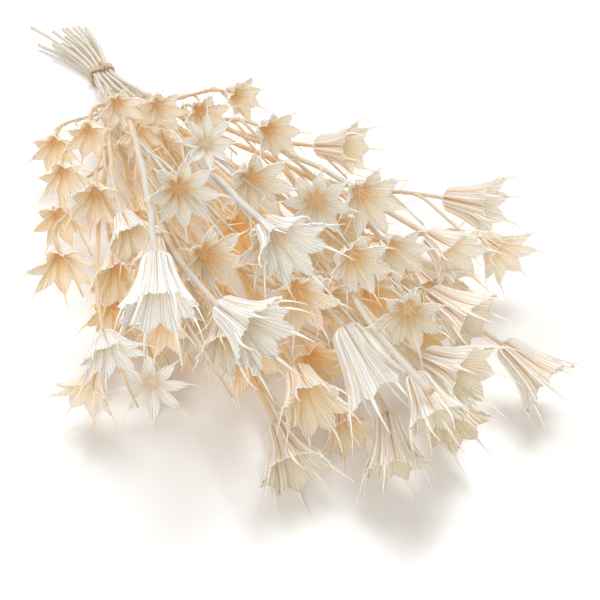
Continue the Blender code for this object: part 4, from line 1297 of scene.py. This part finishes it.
class StageSettings(bpy.types.PropertyGroup):
    """Floor, light and camera."""
    floor_colour: colour_property("Floor colour", "Pale floor", (0.93, 0.94, 0.955))
    lens: bpy.props.FloatProperty(name="Lens", description="Focal length of the camera",
                                  default=46.9, min=20.0, max=120.0, unit="CAMERA")
    key_power: bpy.props.FloatProperty(name="Key light", description="Power of the key light",
                                       default=32.0, min=0.0, unit="POWER")
    front_power: bpy.props.FloatProperty(
        name="Front fill", description="Power of the soft light beside the camera",
        default=28.0, min=0.0, unit="POWER")
    back_power: bpy.props.FloatProperty(
        name="Back light", description="Power of the light over the cut ends",
        default=2.4, min=0.0, unit="POWER")
    fill_strength: bpy.props.FloatProperty(
        name="Fill", description="Brightness of the pale surroundings",
        default=0.47, min=0.0, max=3.0)


class BUNCH_OT_grow_sprays(bpy.types.Operator):
    """Grow the fifteen sprays of stems and pods"""
    bl_idname = "nigella_bunch.grow_sprays"
    bl_label = "Grow sprays"

    def execute(self, context):
        settings = context.scene.spray_settings
        material = pod_material(settings)
        pods, feet, turns, strands = lay_out()
        broken = broken_route(strands)
        for number in range(WEDGES * LAYERS):
            members = [i for i, s in enumerate(strands) if s.spray == number]
            if not members:
                raise RuntimeError("a spray has no strands")
            grow_spray(number, members, strands, pods, feet, turns, broken, material, settings)
        return {"FINISHED"}


class BUNCH_OT_wind_tie(bpy.types.Operator):
    """Wind the twine round the stems"""
    bl_idname = "nigella_bunch.wind_tie"
    bl_label = "Wind tie"

    def execute(self, context):
        settings = context.scene.tie_settings
        wind_tie(twine_material(settings), settings)
        return {"FINISHED"}


# Name, place, aim, diameter and colour of each light, in metres.
LIGHTS = (
    ("key light", (0.8, 0.7, 2.2), (0.0, -0.05, 0.03), 1.3, (0.96, 0.985, 1.0)),
    ("front fill", (-1.3, -1.8, 1.5), (0.0, -0.05, 0.05), 1.6, (0.97, 0.985, 1.0)),
    ("back light", (-0.2, 0.60, 0.75), (-0.03, 0.12, 0.02), 0.5, (1.0, 1.0, 1.0)),
)
SKY_COLOUR = (1.0, 0.93, 0.82, 1.0)
FLOOR_SECOND = (0.91, 0.92, 0.935)


def add_light(name, place, aim, size, colour, power):
    """Round soft light that points at its aim."""
    data = bpy.data.lights.new(name, "AREA")
    data.shape, data.size, data.energy, data.color = "DISK", size, power, colour
    lamp = bpy.data.objects.new(name, data)
    lamp.location = place
    lamp.rotation_euler = (Vector(aim) - Vector(place)).to_track_quat("-Z", "Y").to_euler()
    bpy.context.scene.collection.objects.link(lamp)
    return lamp


class BUNCH_OT_set_stage(bpy.types.Operator):
    """Set the floor, the lights and the camera"""
    bl_idname = "nigella_bunch.set_stage"
    bl_label = "Set stage"

    def execute(self, context):
        settings, scene = context.scene.stage_settings, context.scene
        mesh = bmesh.new()
        bmesh.ops.create_grid(mesh, x_segments=1, y_segments=1, size=6.0)
        data = bpy.data.meshes.new("floor")
        mesh.to_mesh(data)
        mesh.free()
        floor = bpy.data.objects.new("floor", data)
        scene.collection.objects.link(floor)
        material, shader, w = new_material("pale floor", Specular_IOR_Level=0.5)
        grain = w.noise(30.0)
        connect(shader, {"Base Color": w.mix(grain * 0.08, settings.floor_colour,
                                             FLOOR_SECOND),
                         "Roughness": 0.22 + grain * 0.06})
        data.materials.append(material)
        scene.world = bpy.data.worlds.new("pale surroundings")
        scene.world.use_nodes = True
        sky = scene.world.node_tree.nodes["Background"]
        sky.inputs["Color"].default_value = SKY_COLOUR
        sky.inputs["Strength"].default_value = settings.fill_strength
        powers = settings.key_power, settings.front_power, settings.back_power
        for light, power in zip(LIGHTS, powers):
            add_light(*light, power)
        data = bpy.data.cameras.new("camera")
        data.sensor_width, data.lens = 36.0, settings.lens
        data.clip_start, data.clip_end = 0.01, 50.0
        camera = bpy.data.objects.new("camera", data)
        camera.location = to_scene(VIEW_POINT)
        camera.rotation_euler = (math.pi / 2 - VIEW_PITCH, 0.0, -VIEW_HEADING)
        scene.collection.objects.link(camera)
        scene.camera = camera
        scene.view_settings.view_transform = "Standard"
        return {"FINISHED"}


class BUNCH_PT_panel(bpy.types.Panel):
    """Operators and settings of the bunch"""
    bl_label = "Nigella bunch"
    bl_idname = "BUNCH_PT_panel"
    bl_space_type = "VIEW_3D"
    bl_region_type = "UI"
    bl_category = "Nigella"

    def draw(self, context):
        for label, operator, settings in (
                ("Sprays", BUNCH_OT_grow_sprays, context.scene.spray_settings),
                ("Tie", BUNCH_OT_wind_tie, context.scene.tie_settings),
                ("Stage", BUNCH_OT_set_stage, context.scene.stage_settings)):
            box = self.layout.box()
            box.label(text=label)
            for name in settings.__annotations__:
                box.prop(settings, name)
            box.operator(operator.bl_idname)


CLASSES = (SpraySettings, TieSettings, StageSettings, BUNCH_OT_grow_sprays,
           BUNCH_OT_wind_tie, BUNCH_OT_set_stage, BUNCH_PT_panel)
SETTINGS = {"spray_settings": SpraySettings, "tie_settings": TieSettings,
            "stage_settings": StageSettings}


def register():
    for item in CLASSES:
        bpy.utils.register_class(item)
    for name, group in SETTINGS.items():
        setattr(bpy.types.Scene, name, bpy.props.PointerProperty(type=group))


def unregister():
    for name in SETTINGS:
        delattr(bpy.types.Scene, name)
    for item in reversed(CLASSES):
        bpy.utils.unregister_class(item)


def main():
    """Build the bunch and its stage."""
    register()
    bpy.ops.nigella_bunch.grow_sprays()
    bpy.ops.nigella_bunch.wind_tie()
    bpy.ops.nigella_bunch.set_stage()
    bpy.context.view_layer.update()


if __name__ == "__main__":
    main()
